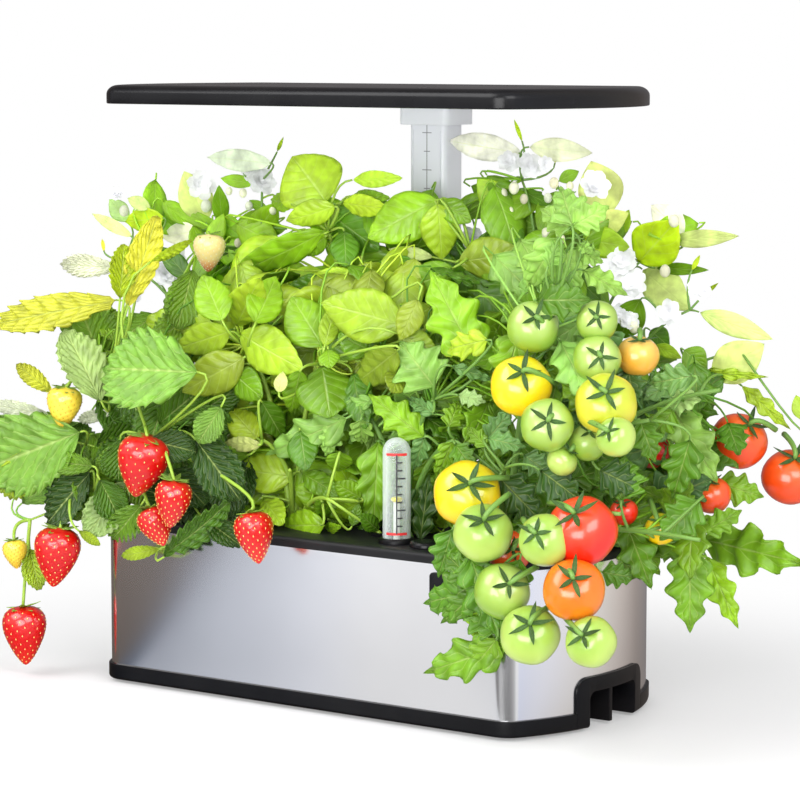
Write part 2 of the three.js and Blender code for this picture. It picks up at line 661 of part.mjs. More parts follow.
function buildBracket() {
  const width = pole.width + 2 * collar.lip;
  const depth = pole.depth + 2 * collar.lip;
  let solid = roundedBar(width, depth, collar.corner, collarLow, lamp.low, 0, poleY);
  solid = solid.add(roundedBar(collar.neckWidth, collar.neckDepth, collar.corner, lamp.low - overrun,
    lampRoofLow, 0, poleY));
  solid = solid.subtract(roundedBar(pole.width + 2 * clearance, pole.depth + 2 * clearance,
    pole.corner + clearance, collarLow - overrun, poleHigh, 0, poleY));
  const wireWidth = pole.width / 3;
  const wireDepth = pole.depth / 3;
  solid = solid.subtract(roundedBar(wireWidth, wireDepth, pole.wall, poleHigh - overrun,
    lampRoofLow + overrun, 0, poleY));
  place('lamp_bracket', solid, 'greyPlastic');
}

function neckHole(low, high) {
  return roundedBar(collar.neckWidth + 2 * clearance, collar.neckDepth + 2 * clearance,
    collar.corner, low, high, 0, poleY);
}

function buildLamp() {
  const sideTop = lamp.low + lamp.sideHeight;
  let shell = planSolid(lampPlan, [
    [lamp.lowerRound, lamp.low],
    [0, lamp.low + lamp.lowerRound],
    [0, sideTop],
    [lamp.crownInset / 6, (sideTop + lampRoofLow) / 2],
    [lamp.crownInset / 2, (lampRoofLow + lampHigh) / 2],
    [lamp.crownInset, lampHigh],
  ]);
  shell = shell.subtract(planSolid(lampPlan, [
    [lamp.wall, lamp.low - overrun],
    [lamp.wall, sideTop - lamp.wall / 2],
    [lamp.crownInset, lampRoofLow],
  ]));
  const bossX = lampPlan.length / 2 - lamp.bossEndGap;
  const bossY = lampPlan.width / 2 - lamp.bossSideGap;
  for (const x of [-bossX, bossX]) {
    for (const y of [-bossY, bossY]) {
      const bossTop = lampHigh - lamp.lowerRound;
      shell = shell.add(bar(lamp.bossRadius, lamp.bossRadius, lampBoardTop, bossTop, x, y, smallSides));
    }
  }
  place('lamp_shell', shell, 'blackPlastic');

  const diffuserLow = lamp.low + lamp.diffuserRecess;
  const diffuserTop = diffuserLow + lamp.diffuserThickness;
  const diffuserInset = lamp.wall + clearance;
  const diffuser = planSolid(lampPlan, [[diffuserInset, diffuserLow], [diffuserInset, diffuserTop]]);
  place('lamp_diffuser', diffuser.subtract(neckHole(lamp.low, lampRoofLow)), 'whitePlastic');

  const boardLow = lampBoardTop - lamp.board;
  let leds = planSolid({ ...lampPlan, bendRadius: lampPlan.bendRadius + lamp.boardInset },
    [[lamp.boardInset, boardLow], [lamp.boardInset, lampBoardTop]]);
  for (let row = 0; row < lamp.ledRowCount; row += 1) {
    for (let column = 0; column < lamp.ledColumnCount; column += 1) {
      const x = (column - (lamp.ledColumnCount - 1) / 2) * lamp.ledPitchX;
      const y = (row - (lamp.ledRowCount - 1) / 2) * lamp.ledPitchY;
      const ledTop = lampBoardTop - lamp.board / 2;
      leds = leds.add(block(lamp.ledSize, lamp.ledSize, boardLow - lamp.ledHeight, ledTop, x, y));
    }
  }
  place('led_board', leds.subtract(neckHole(lamp.low, lampRoofLow)), 'metal');
  place('driver_board', block(lamp.driverLength, lamp.driverWidth, lampBoardTop,
    lampBoardTop + lamp.driverHeight, lamp.driverX), 'circuit');
}

function buttonXs() {
  return [-1, 0, 1].map((step) => panelX + step * button.pitch);
}

function buildPanel() {
  const steelFront = steel.inset - halfWidth;
  const steelInner = steelFront + steel.thickness;
  const face = steelFront - panel.proud;
  const neckBack = steelInner + panel.neckDepth;
  const flangeFront = neckBack + button.gap;
  const flangeBack = flangeFront + button.flangeThickness;
  const switchFront = flangeBack + button.travel + clearance;
  const boardFront = switchFront + board.switchHeight;
  let solid = roundedPlate(panel.width, panel.height, panel.corner, face, steelFront, panelX, panelZ);
  solid = solid.add(roundedPlate(panel.width - 2 * panel.neckInset, panel.height - 2 * panel.neckInset,
    panel.corner - panel.neckInset, face + panel.proud / 2, neckBack, panelX, panelZ));
  for (const side of [-1, 1]) {
    const pegX = panelX + side * (panel.width / 2 - 2 * panel.neckInset);
    solid = solid.add(barAlongY(panel.neckInset, steelInner, boardFront, pegX, panelZ, smallSides));
  }
  const names = ['button_light', 'button_mode', 'button_pump'];
  const boardBack = boardFront + board.thickness;
  let circuit = roundedPlate(board.width, board.height, panel.corner, boardFront, boardBack,
    panelX, panelZ);
  buttonXs().forEach((x, at) => {
    const hole = button.radius + button.gap;
    solid = solid.subtract(barAlongY(hole, face - overrun, neckBack + overrun, x, panelZ));
    const cap = barAlongY(button.radius, face - button.proud, flangeBack, x, panelZ);
    const flange = barAlongY(button.flangeRadius, flangeFront, flangeBack, x, panelZ);
    place(names[at], cap.add(flange), 'greyPlastic');
    circuit = circuit.add(roundedPlate(board.switchSize, board.switchSize, board.switchHeight, switchFront,
      boardFront + board.thickness / 2, x, panelZ));
  });
  place('control_panel', solid, 'blackPlastic');
  place('control_board', circuit, 'circuit');
}

function buildJack() {
  const back = dockBack;
  const inner = back - jack.length;
  let solid = barAlongY(jack.radius, inner, back, 0, jack.z);
  solid = solid.add(barAlongY(jack.flangeRadius, back, back + jack.flange, 0, jack.z));
  solid = solid.subtract(barAlongY(jack.bore, back - jack.boreDepth, back + overrun, 0, jack.z, smallSides));
  solid = solid.add(barAlongY(jack.pin, back - jack.boreDepth - jack.pin, back, 0, jack.z, smallSides));
  place('power_jack', solid, 'blackPlastic');
}

function buildPump() {
  const low = tankLow + tank.wall;
  const high = low + pump.height;
  const front = pump.y - pump.width / 2;
  const axisZ = (low + high) / 2;
  let housing = roundedBar(pump.length, pump.width, pump.corner, low, high, pump.x, pump.y);
  const chamberBack = front + pump.chamberDepth;
  const shaftBack = chamberBack + pump.chamberRadius / 2;
  const shaftHole = impeller.shaft + clearance;
  housing = housing.subtract(barAlongY(pump.chamberRadius, front - overrun, chamberBack, pump.x, axisZ));
  housing = housing.subtract(barAlongY(shaftHole, front, shaftBack, pump.x, axisZ, smallSides));
  const nozzleX = pump.x + pump.length / 4;
  const nozzleY = pump.y + pump.width / 5;
  const nozzleTop = high + pump.nozzleHeight;
  const nozzleOf = (radius, from, to) => bar(radius, radius, from, to, nozzleX, nozzleY, smallSides);
  housing = housing.add(nozzleOf(pump.nozzleRadius, high - clearance, nozzleTop));
  housing = housing.subtract(nozzleOf(pump.nozzleBore, high - pump.nozzleRadius, nozzleTop + overrun));
  place('pump_body', housing, 'blackMatte');

  const rotorFront = front + impeller.endGap;
  const rotorBack = rotorFront + impeller.length;
  let rotor = barAlongY(impeller.hub, rotorFront, rotorBack, pump.x, axisZ, smallSides);
  const shaftEnd = shaftBack - impeller.endGap;
  rotor = rotor.add(barAlongY(impeller.shaft, rotorFront, shaftEnd, pump.x, axisZ, smallSides));
  for (let at = 0; at < impeller.bladeCount; at += 1) {
    const blade = new THREE.BoxGeometry(impeller.radius, impeller.length, impeller.bladeThickness);
    blade.translate(impeller.radius / 2, 0, 0).rotateY((at * 2 * Math.PI) / impeller.bladeCount);
    rotor = rotor.add(solidOf(blade.translate(pump.x, (rotorFront + rotorBack) / 2, axisZ)));
  }
  place('pump_impeller', rotor, 'whitePlastic');

  let cover = roundedPlate(pump.length, pump.height, pump.corner, front - pump.coverThickness, front,
    pump.x, axisZ);
  for (let at = 0; at < pump.slotCount; at += 1) {
    const x = pump.x + (at - (pump.slotCount - 1) / 2) * pump.slotPitch;
    cover = cover.subtract(block(pump.slotWidth, 4 * pump.coverThickness, axisZ - pump.slotHeight / 2,
      axisZ + pump.slotHeight / 2, x, front));
  }
  place('pump_cover', cover, 'blackPlastic');

  const tubeLow = high + clearance;
  const bendTop = nozzleTop + outlet.bendRadius;
  const path = new THREE.CurvePath();
  path.add(new THREE.LineCurve3(new THREE.Vector3(nozzleX, nozzleY, tubeLow),
    new THREE.Vector3(nozzleX, nozzleY, nozzleTop)));
  path.add(new THREE.QuadraticBezierCurve3(new THREE.Vector3(nozzleX, nozzleY, nozzleTop),
    new THREE.Vector3(nozzleX, nozzleY, bendTop),
    new THREE.Vector3(nozzleX + outlet.bendRadius, nozzleY, bendTop)));
  path.add(new THREE.LineCurve3(new THREE.Vector3(nozzleX + outlet.bendRadius, nozzleY, bendTop),
    new THREE.Vector3(nozzleX + outlet.reach, nozzleY, bendTop)));
  const tubeOf = (radius) => {
    const section = new THREE.Shape();
    section.absarc(0, 0, radius, 0, 2 * Math.PI);
    const options = { extrudePath: path, steps: outletSteps, curveSegments: outletSteps / 2 };
    return solidOf(new THREE.ExtrudeGeometry(section, options));
  };
  place('pump_outlet', tubeOf(outlet.radius).subtract(tubeOf(outlet.radius - outlet.wall)), 'clear');
}

const degrees = Math.PI / 180;

// A straight tapered limb from one point to another, which runs past both by its own radius.
function limb(from, to, lowRadius, highRadius) {
  const along = to.clone().sub(from);
  const length = along.length() + lowRadius + highRadius;
  const geometry = new THREE.CylinderGeometry(highRadius, lowRadius, length, limbSides);
  const up = new THREE.Vector3(0, 1, 0);
  const turn = new THREE.Quaternion().setFromUnitVectors(up, along.clone().normalize());
  geometry.applyQuaternion(turn);
  const middle = from.clone().add(to).multiplyScalar(1 / 2);
  return solidOf(geometry.translate(middle.x, middle.y, middle.z));
}

// A leaf that leaves a point at a heading, rises and then droops, with a thin edge all round.
function leafSolid(root, heading, kind, sizeShare, growth) {
  const along = new THREE.Vector3(Math.cos(heading), Math.sin(heading), 0);
  const across = new THREE.Vector3(-Math.sin(heading), Math.cos(heading), 0);
  const halfBreadth = (kind.leafWidth / 2) * sizeShare + growth;
  const spine = (share) => root.clone()
    .addScaledVector(along, kind.leafLength * sizeShare * share)
    .add(new THREE.Vector3(0, 0, (kind.leafRise * share - kind.leafDroop * share ** 2) * sizeShare));
  const pastEnd = (share, [ringShare]) => {
    const end = spine(share);
    return end.addScaledVector(end.clone().sub(spine(ringShare)).normalize(), growth);
  };
  const positions = [...pastEnd(-leafRootShare, leafRingShares.at(0)).toArray()];
  for (const [share, widthShare] of leafRingShares) {
    const middle = spine(share);
    const side = across.clone().multiplyScalar(halfBreadth * widthShare);
    const half = new THREE.Vector3(0, 0, kind.leafThickness / 2 + growth);
    for (const offset of [side, half, side.clone().negate(), half.clone().negate()]) {
      positions.push(...middle.clone().add(offset).toArray());
    }
  }
  positions.push(...pastEnd(1, leafRingShares.at(-1)).toArray());
  const cornerCount = 4;
  const tip = 1 + cornerCount * leafRingShares.length;
  const indices = [];
  for (let at = 0; at < cornerCount; at += 1) {
    const next = (at + 1) % cornerCount;
    indices.push(0, 1 + next, 1 + at);
    for (let level = 1; level < leafRingShares.length; level += 1) {
      const low = 1 + (level - 1) * cornerCount;
      const high = low + cornerCount;
      indices.push(low + at, low + next, high + next);
      indices.push(low + at, high + next, high + at);
    }
    indices.push(tip, tip - cornerCount + at, tip - cornerCount + next);
  }
  const geometry = new THREE.BufferGeometry();
  geometry.setAttribute('position', new THREE.Float32BufferAttribute(positions, 3));
  geometry.setIndex(indices);
  return solidOf(geometry);
}

// A fruit whose top, or one side, takes in the point that it grows from.
function fruitSolid(root, away, kind, sizeShare, growth) {
  const radius = kind.fruitRadius * sizeShare;
  const geometry = new THREE.OctahedronGeometry(radius + growth, 1).scale(1, 1, kind.fruitStretchShare);
  const offset = radius * fruitHoldShare;
  const drop = radius * (away === null ? fruitHoldShare * kind.fruitStretchShare : fruitDropShare);
  const centre = root.clone().sub(new THREE.Vector3(0, 0, drop));
  if (away !== null) centre.add(new THREE.Vector3(offset * Math.cos(away), offset * Math.sin(away), 0));
  return solidOf(geometry.translate(centre.x, centre.y, centre.z));
}

// The curve of a shoot from the crown to its end.
function shootCurve(crown, kind, [headingDegrees, reachShare, heightShare, archShare]) {
  const heading = headingDegrees * degrees;
  const reach = kind.reach * reachShare;
  const rise = kind.height * heightShare;
  const over = new THREE.Vector3(reach * Math.cos(heading), reach * Math.sin(heading), rise);
  const end = crown.clone().add(over);
  const lift = Math.max(rise, 0) + reach * archShare;
  const bend = crown.clone().add(new THREE.Vector3(
    (reach / 2) * Math.cos(heading), (reach / 2) * Math.sin(heading), lift));
  return { heading, curve: new THREE.QuadraticBezierCurve3(crown, bend, end) };
}

// The point of a shoot's middle line at a share of its curve, on the straight step that holds it.
function shootPoint(curve, share) {
  const step = Math.min(Math.floor(share * shootSteps), shootSteps - 1);
  const low = curve.getPoint(step / shootSteps);
  return low.lerp(curve.getPoint((step + 1) / shootSteps), share * shootSteps - step);
}

// A tapered shoot along its curve, with a ring of corners at each step.
function shootSolid(curve, heading, radius) {
  const across = new THREE.Vector3(-Math.sin(heading), Math.cos(heading), 0);
  const positions = [];
  const indices = [];
  for (let step = 0; step <= shootSteps; step += 1) {
    const share = step / shootSteps;
    const tangent = curve.getTangent(share);
    const normal = tangent.clone().cross(across);
    for (let corner = 0; corner < limbSides; corner += 1) {
      const angle = (2 * Math.PI * corner) / limbSides;
      const point = curve.getPoint(share)
        .addScaledVector(across, radius * (1 - share / 2) * Math.cos(angle))
        .addScaledVector(normal, radius * (1 - share / 2) * Math.sin(angle));
      positions.push(...point.toArray());
    }
  }
  for (let step = 0; step < shootSteps; step += 1) {
    const low = step * limbSides;
    const high = low + limbSides;
    for (let corner = 0; corner < limbSides; corner += 1) {
      const next = (corner + 1) % limbSides;
      indices.push(low + corner, low + next, high + next);
      indices.push(low + corner, high + next, high + corner);
    }
  }
  const last = shootSteps * limbSides;
  for (let corner = 1; corner + 1 < limbSides; corner += 1) {
    indices.push(0, corner + 1, corner);
    indices.push(last, last + corner, last + corner + 1);
  }
  const geometry = new THREE.BufferGeometry();
  geometry.setAttribute('position', new THREE.Float32BufferAttribute(positions, 3));
  geometry.setIndex(indices);
  return solidOf(geometry);
}

// A plant whose leaves are as thick as the kind's, and thicker by the growth all round.
function plantSolid({ kind, leafShootShares, fruitShootShares = [] }, x, y, growth) {
  const low = new THREE.Vector3(x, y, deckHigh);
  const crown = new THREE.Vector3(x, y, deckHigh + kind.crown);
  const radius = kind.shoot + growth;
  const knot = new THREE.OctahedronGeometry(crownShare * kind.stem + growth);
  const pieces = [
    limb(low, crown, kind.stem + growth, kind.shoot + growth),
    solidOf(knot.translate(crown.x, crown.y, crown.z)),
  ];
  for (const shares of leafShootShares) {
    const { heading, curve } = shootCurve(crown, kind, shares);
    pieces.push(shootSolid(curve, heading, radius));
    for (const [share, turn, sizeShare] of kind.leafSpotShares) {
      pieces.push(leafSolid(shootPoint(curve, share), heading + turn * degrees, kind, sizeShare, growth));
    }
  }
  for (const shares of fruitShootShares) {
    const { heading, curve } = shootCurve(crown, kind, shares);
    pieces.push(shootSolid(curve, heading, radius));
    for (const [share, turn, sizeShare] of kind.fruitSpotShares) {
      const away = share < 1 ? heading + turn * degrees : null;
      pieces.push(fruitSolid(shootPoint(curve, share), away, kind, sizeShare, growth));
    }
  }
  return pieces.reduce((whole, piece) => whole.add(piece));
}

// What the plants stay clear of: the base and its fittings, the cap's travel, the post and the lamp.
function plantKeepOut() {
  const gap = canopy.gap;
  let solid = planSolid(basePlan, [[-gap, -overrun], [-gap, deckHigh + gap]]);
  const flangeTop = deckHigh + pod.flangeHeight + gap;
  eachPod((x, y) => {
    const outer = bar(pod.flangeRadius + gap, pod.flangeRadius + gap, deckHigh, flangeTop, x, y);
    const inner = pod.topRadius - pod.wall - gap;
    solid = solid.add(outer.subtract(bar(inner, inner, 0, flangeTop + overrun, x, y)));
  });
  const gaugeRadius = gauge.collarRadius + gap;
  solid = solid.add(bar(gaugeRadius, gaugeRadius, deckHigh, gaugeHigh + gap, gaugeX, gaugeY));
  const capRadius = filler.capRadius + gap;
  const capTop = deckHigh + filler.capHeight + filler.lift + gap;
  solid = solid.add(bar(capRadius, capRadius, deckHigh, capTop, fillerX, fillerY));
  const postWidth = wellWidth + 2 * (collar.lip + gap);
  const postDepth = wellDepth + 2 * (collar.lip + gap);
  solid = solid.add(roundedBar(postWidth, postDepth, pole.corner, deckHigh, lampHigh, 0, poleY));
  const panelFront = halfWidth + panel.proud;
  return solid.add(block(panel.width + 2 * gap, panelFront, panelZ - panel.height, deckHigh, panelX,
    -panelFront / 2));
}

// The piece of a plant that still stands on its crown once its neighbours have been cut away.
function rootedPiece(solid, crown) {
  return solid.decompose().find((piece) => !piece.intersect(crown).isEmpty());
}

function buildPlants() {
  const keepOut = plantKeepOut();
  const room = block(2 * canopy.reachX, 2 * canopy.reachY, canopy.low, lamp.low - canopy.lampGap);
  let taken = keepOut;
  eachPod((x, y, number) => {
    const plant = plants[number - 1];
    const { crown, shoot } = plant.kind;
    const root = bar(shoot, shoot, deckHigh + crown - shoot, deckHigh + crown, x, y, smallSides);
    const whole = rootedPiece(plantSolid(plant, x, y, 0).intersect(room).subtract(taken), root);
    place(plant.name, rootedPiece(solidOf(geometryOf(whole)), root), 'leaf');
    taken = taken.add(plantSolid(plant, x, y, canopy.gap));
  });
}

buildPlinth();
buildFeet();
buildHandles();
buildSteel();
buildTank();
buildDeck();
buildPods();
buildGauge();
buildFillCap();
buildPost();
buildBracket();
buildLamp();
buildPanel();
buildJack();
buildPump();
buildPlants();

export default garden;
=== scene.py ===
import math
import random

import bmesh
import bpy
from mathutils import Color, Matrix, Vector, noise


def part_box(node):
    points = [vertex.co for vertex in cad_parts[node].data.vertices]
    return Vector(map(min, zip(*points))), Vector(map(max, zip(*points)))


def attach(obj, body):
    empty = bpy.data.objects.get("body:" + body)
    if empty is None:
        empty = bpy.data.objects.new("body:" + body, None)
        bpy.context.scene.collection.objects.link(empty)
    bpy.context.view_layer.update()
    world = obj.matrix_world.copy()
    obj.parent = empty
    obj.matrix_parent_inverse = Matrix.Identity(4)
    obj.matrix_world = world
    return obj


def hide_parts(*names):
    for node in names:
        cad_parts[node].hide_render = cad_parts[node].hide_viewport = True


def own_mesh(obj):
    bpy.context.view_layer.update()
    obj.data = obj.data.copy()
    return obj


# Looks of the countertop hydroponic garden. Lengths are in millimetres until a mesh is made.

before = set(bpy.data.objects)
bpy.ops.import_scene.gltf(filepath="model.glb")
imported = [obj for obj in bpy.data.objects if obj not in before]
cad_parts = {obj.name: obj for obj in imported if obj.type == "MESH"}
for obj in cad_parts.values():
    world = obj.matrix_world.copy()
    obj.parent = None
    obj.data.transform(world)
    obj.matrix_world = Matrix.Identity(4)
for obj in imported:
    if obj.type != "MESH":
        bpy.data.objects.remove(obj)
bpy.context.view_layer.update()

MM = 0.001
OVERRUN = 5
PHOTO_SIZE = 800


def box_mm(node):
    low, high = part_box(node)
    return low / MM, high / MM


def middle_of(node):
    low, high = box_mm(node)
    return (low + high) / 2


def add_object(name, data):
    thing = bpy.data.objects.new(name, data)
    bpy.context.scene.collection.objects.link(thing)
    return thing


# Camera, fitted to the edges of the base and the lamp

CAMERA_PLACE = Vector((1219.79, -1677.33, 432.33))
CAMERA_YAW = 35.5569
CAMERA_PITCH = 6.5201
CAMERA_LENS = 141.31
CAMERA_SENSOR = 36
RIGHT_ANGLE = 90

camera_data = bpy.data.cameras.new("camera")
camera_data.lens = CAMERA_LENS
camera_data.sensor_width = CAMERA_SENSOR
camera = add_object("camera", camera_data)
camera.location = CAMERA_PLACE * MM
camera.rotation_euler = (math.radians(RIGHT_ANGLE - CAMERA_PITCH), 0, math.radians(CAMERA_YAW))
bpy.context.scene.camera = camera
bpy.context.view_layer.update()

CAMERA_TURN = camera.matrix_world.to_3x3()
CAMERA_RIGHT = CAMERA_TURN @ Vector((1, 0, 0))
CAMERA_UP = CAMERA_TURN @ Vector((0, 1, 0))
CAMERA_AHEAD = CAMERA_TURN @ Vector((0, 0, -1))
PIXELS_AHEAD = CAMERA_LENS / CAMERA_SENSOR * PHOTO_SIZE


def at_pixel(u, v, plane_y):
    """The point of the plane Y = plane_y that the photo shows at pixel (u, v)."""
    across = (u - PHOTO_SIZE / 2) / PIXELS_AHEAD
    above = (PHOTO_SIZE / 2 - v) / PIXELS_AHEAD
    ray = CAMERA_AHEAD + across * CAMERA_RIGHT + above * CAMERA_UP
    return CAMERA_PLACE + ray * ((plane_y - CAMERA_PLACE.y) / ray.y)


# Meshes

def loft(rings):
    """A closed skin over rings of equally many points, with a flat cap at each end."""
    count = len(rings[0])
    points = [point for ring in rings for point in ring]
    faces = [tuple(reversed(range(count)))]
    for level in range(len(rings) - 1):
        for at in range(count):
            after = (at + 1) % count
            low = level * count
            high = low + count
            faces.append((low + at, low + after, high + after, high + at))
    last = (len(rings) - 1) * count
    faces.append(tuple(range(last, last + count)))
    return points, faces


def lathe(profile, x=0, y=0, steps=48):
    """A closed profile of (radius, height) points, turned about the vertical through (x, y)."""
    points = []
    faces = []
    for step in range(steps):
        angle = 2 * math.pi * step / steps
        for radius, height in profile:
            points.append(Vector((x + radius * math.cos(angle), y + radius * math.sin(angle), height)))
    count = len(profile)
    for step in range(steps):
        here = step * count
        there = (step + 1) % steps * count
        for at in range(count):
            after = (at + 1) % count
            faces.append((here + at, there + at, there + after, here + after))
    return points, faces


def prism(outline, low, high):
    return loft([[Vector((x, y, z)) for x, y in outline] for z in (low, high)])


def rounded_outline(width, depth, radius, x=0, y=0, steps=8):
    outline = []
    for turn, (side_x, side_y) in enumerate(((1, 1), (-1, 1), (-1, -1), (1, -1))):
        centre_x = x + side_x * (width / 2 - radius)
        centre_y = y + side_y * (depth / 2 - radius)
        for step in range(steps + 1):
            angle = (turn + step / steps) * math.pi / 2
            outline.append((centre_x + radius * math.cos(angle), centre_y + radius * math.sin(angle)))
    return outline


def plan_outline(plan, inset, end_steps=40, bend_steps=12):
    """The outline of the base or the lamp: two shallow end arcs with a tight bend at each corner."""
    length, width, end_radius, bend_radius = plan
    end_x = length / 2 - end_radius
    bend_y = width / 2 - bend_radius
    bend_x = end_x + math.sqrt((end_radius - bend_radius) ** 2 - bend_y ** 2)
    turn = math.atan2(bend_y, bend_x - end_x)
    end = end_radius - inset
    bend = bend_radius - inset
    arcs = (
        (end_x, 0, end, -turn, turn, end_steps),
        (bend_x, bend_y, bend, turn, math.pi / 2, bend_steps),
        (-bend_x, bend_y, bend, math.pi / 2, math.pi - turn, bend_steps),
        (-end_x, 0, end, math.pi - turn, math.pi + turn, end_steps),
        (-bend_x, -bend_y, bend, math.pi + turn, 1.5 * math.pi, bend_steps),
        (bend_x, -bend_y, bend, 1.5 * math.pi, 2 * math.pi - turn, bend_steps),
    )
    outline = []
    for x, y, radius, start, stop, steps in arcs:
        for step in range(steps):
            angle = start + (stop - start) * step / steps
            outline.append((x + radius * math.cos(angle), y + radius * math.sin(angle)))
    return outline


def plan_loft(plan, levels):
    return loft([[Vector((x, y, z)) for x, y in plan_outline(plan, inset)] for inset, z in levels])


def standing_prism(outline, front, back):
    """An outline in the XZ plane, drawn out along Y."""
    points, faces = prism(outline, -back, -front)
    return [Vector((p.x, -p.z, p.y)) for p in points], faces


def arch_prism(half_width, top, corner, low, inner, outer, side, steps=12):
    """An arch in the YZ plane that is open below, drawn out along X on one side of the garden."""
    outline = [(-half_width, low), (half_width, low)]
    for turn, centre in enumerate((half_width - corner, corner - half_width)):
        for step in range(steps + 1):
            angle = (turn + step / steps) * math.pi / 2
            outline.append((centre + corner * math.cos(angle), top - corner + corner * math.sin(angle)))
    points, faces = prism(outline, inner, outer)
    turned = [Vector((side * p.z, p.x, p.y)) for p in points]
    if side < 0:
        faces = [tuple(reversed(face)) for face in faces]
    return turned, faces


def mesh_of(name, skin):
    points, faces = skin
    mesh = bpy.data.meshes.new(name)
    mesh.from_pydata([Vector(p) * MM for p in points], [], faces)
    tidy = bmesh.new()
    tidy.from_mesh(mesh)
    bmesh.ops.remove_doubles(tidy, verts=tidy.verts, dist=SAME_POINT * MM)
    bmesh.ops.recalc_face_normals(tidy, faces=tidy.faces)
    tidy.to_mesh(mesh)
    tidy.free()
    return mesh


SAME_POINT = 0.002


def object_of(name, skin):
    return add_object(name, mesh_of(name, skin))


def settle(thing):
    """Applies the modifiers of an object to its mesh."""
    bpy.context.view_layer.update()
    seen = thing.evaluated_get(bpy.context.evaluated_depsgraph_get())
    mesh = bpy.data.meshes.new_from_object(seen)
    thing.modifiers.clear()
    thing.data = mesh
    return thing


def combine_one(thing, cutter, operation="DIFFERENCE"):
    """Cuts another object from an object, joins it to it or keeps what they share."""
    step = thing.modifiers.new("combine", "BOOLEAN")
    step.operation = operation
    step.object = cutter
    step.solver = "EXACT"
    settle(thing)
    bpy.data.objects.remove(cutter)


def combine(thing, skins, operation="DIFFERENCE"):
    for skin in skins:
        combine_one(thing, object_of("cutter", skin), operation)
    return thing


def soften(thing, width, segments=2):
    """Rounds the sharp edges of a moulded or folded piece."""
    step = thing.modifiers.new("soften", "BEVEL")
    step.width = width * MM
    step.segments = segments
    step.limit_method = "ANGLE"
    step.angle_limit = math.radians(SHARP_ANGLE)
    step.harden_normals = False
    return settle(thing)


SHARP_ANGLE = 32


def dress(thing, body, material, nodes=()):
    """Gives a finished piece its body, material and smooth surface."""
    thing.data.materials.clear()
    thing.data.materials.append(material)
    thing.data.shade_smooth()
    thing.data.set_sharp_from_angle(angle=math.radians(SHARP_ANGLE))
    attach(thing, body)
    if nodes:
        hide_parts(*nodes)
    return thing


# Materials

WHITE = (1, 1, 1)
# The middle of the range of a noise
NOISE_LOW = 0.3
NOISE_HIGH = 0.7


def node_material(name, colour, roughness, metallic=0):
    material = bpy.data.materials.new(name)
    material.use_nodes = True
    shader = material.node_tree.nodes["Principled BSDF"]
    shader.inputs["Base Color"].default_value = (*colour, 1)
    shader.inputs["Roughness"].default_value = roughness
    shader.inputs["Metallic"].default_value = metallic
    return material, material.node_tree, shader


def add_node(tree, kind, **values):
    node = tree.nodes.new(kind)
    for key, value in values.items():
        if hasattr(node, key):
            setattr(node, key, value)
        else:
            node.inputs[key.replace("_", " ")].default_value = value
    return node


def object_noise(tree, scale, detail=3, stretch=(1, 1, 1)):
    place = add_node(tree, "ShaderNodeTexCoord")
    mapping = add_node(tree, "ShaderNodeMapping", Scale=stretch)
    texture = add_node(tree, "ShaderNodeTexNoise", Scale=scale, Detail=detail)
    tree.links.new(place.outputs["Object"], mapping.inputs["Vector"])
    tree.links.new(mapping.outputs["Vector"], texture.inputs["Vector"])
    return texture.outputs["Fac"]


def connect(tree, source, socket):
    """Links an output to a socket, or sets the value of the socket itself."""
    if isinstance(source, bpy.types.NodeSocket):
        tree.links.new(source, socket)
    else:
        socket.default_value = source


def calculate(tree, operation, *values, clamp=False):
    node = add_node(tree, "ShaderNodeMath", operation=operation, use_clamp=clamp)
    for value, socket in zip(values, node.inputs):
        connect(tree, value, socket)
    return node.outputs["Value"]


def calculate_vector(tree, operation, *values):
    node = add_node(tree, "ShaderNodeVectorMath", operation=operation)
    for value, socket in zip(values, node.inputs):
        connect(tree, value, socket)
    return node


def shaded(tree, colour, share):
    node = calculate_vector(tree, "SCALE", colour)
    tree.links.new(share, node.inputs["Scale"])
    return node.outputs["Vector"]


def spread(tree, source, low, high, from_low=NOISE_LOW, from_high=NOISE_HIGH, interpolation="LINEAR"):
    """A value that runs from low to high as its source runs over its range."""
    node = add_node(tree, "ShaderNodeMapRange", interpolation_type=interpolation, From_Min=from_low,
                    From_Max=from_high, To_Min=low, To_Max=high)
    tree.links.new(source, node.inputs["Value"])
    return node.outputs["Result"]


def colour_stops(tree, source, stops):
    """The colour between stops, each a share of the source and a colour."""
    ramp = add_node(tree, "ShaderNodeValToRGB")
    tree.links.new(source, ramp.inputs["Fac"])
    elements = ramp.color_ramp.elements
    for element, (share, colour) in zip(elements, (stops[0], stops[-1])):
        element.position = share
        element.color = (*colour, 1)
    for share, colour in stops[1:-1]:
        elements.new(share).color = (*colour, 1)
    return ramp.outputs["Color"]


def mix_colours(tree, share, first, second):
    mix = add_node(tree, "ShaderNodeMix", data_type="RGBA")
    for source, name in ((share, "Factor"), (first, "A"), (second, "B")):
        connect(tree, source, mix.inputs[name])
    return mix.outputs["Result"]


def mix_shaders(tree, share, first, second, output="Material Output"):
    """Shows the second shader in place of the first by a share of it."""
    mix = add_node(tree, "ShaderNodeMixShader")
    for source, socket in zip((share, first.outputs[0], second.outputs[0]), mix.inputs):
        connect(tree, source, socket)
    tree.links.new(mix.outputs["Shader"], tree.nodes[output].inputs["Surface"])


def add_bump(tree, shader, source, strength, distance):
    bump = add_node(tree, "ShaderNodeBump", Strength=strength, Distance=distance * MM)
    tree.links.new(source, bump.inputs["Height"])
    tree.links.new(bump.outputs["Normal"], shader.inputs["Normal"])


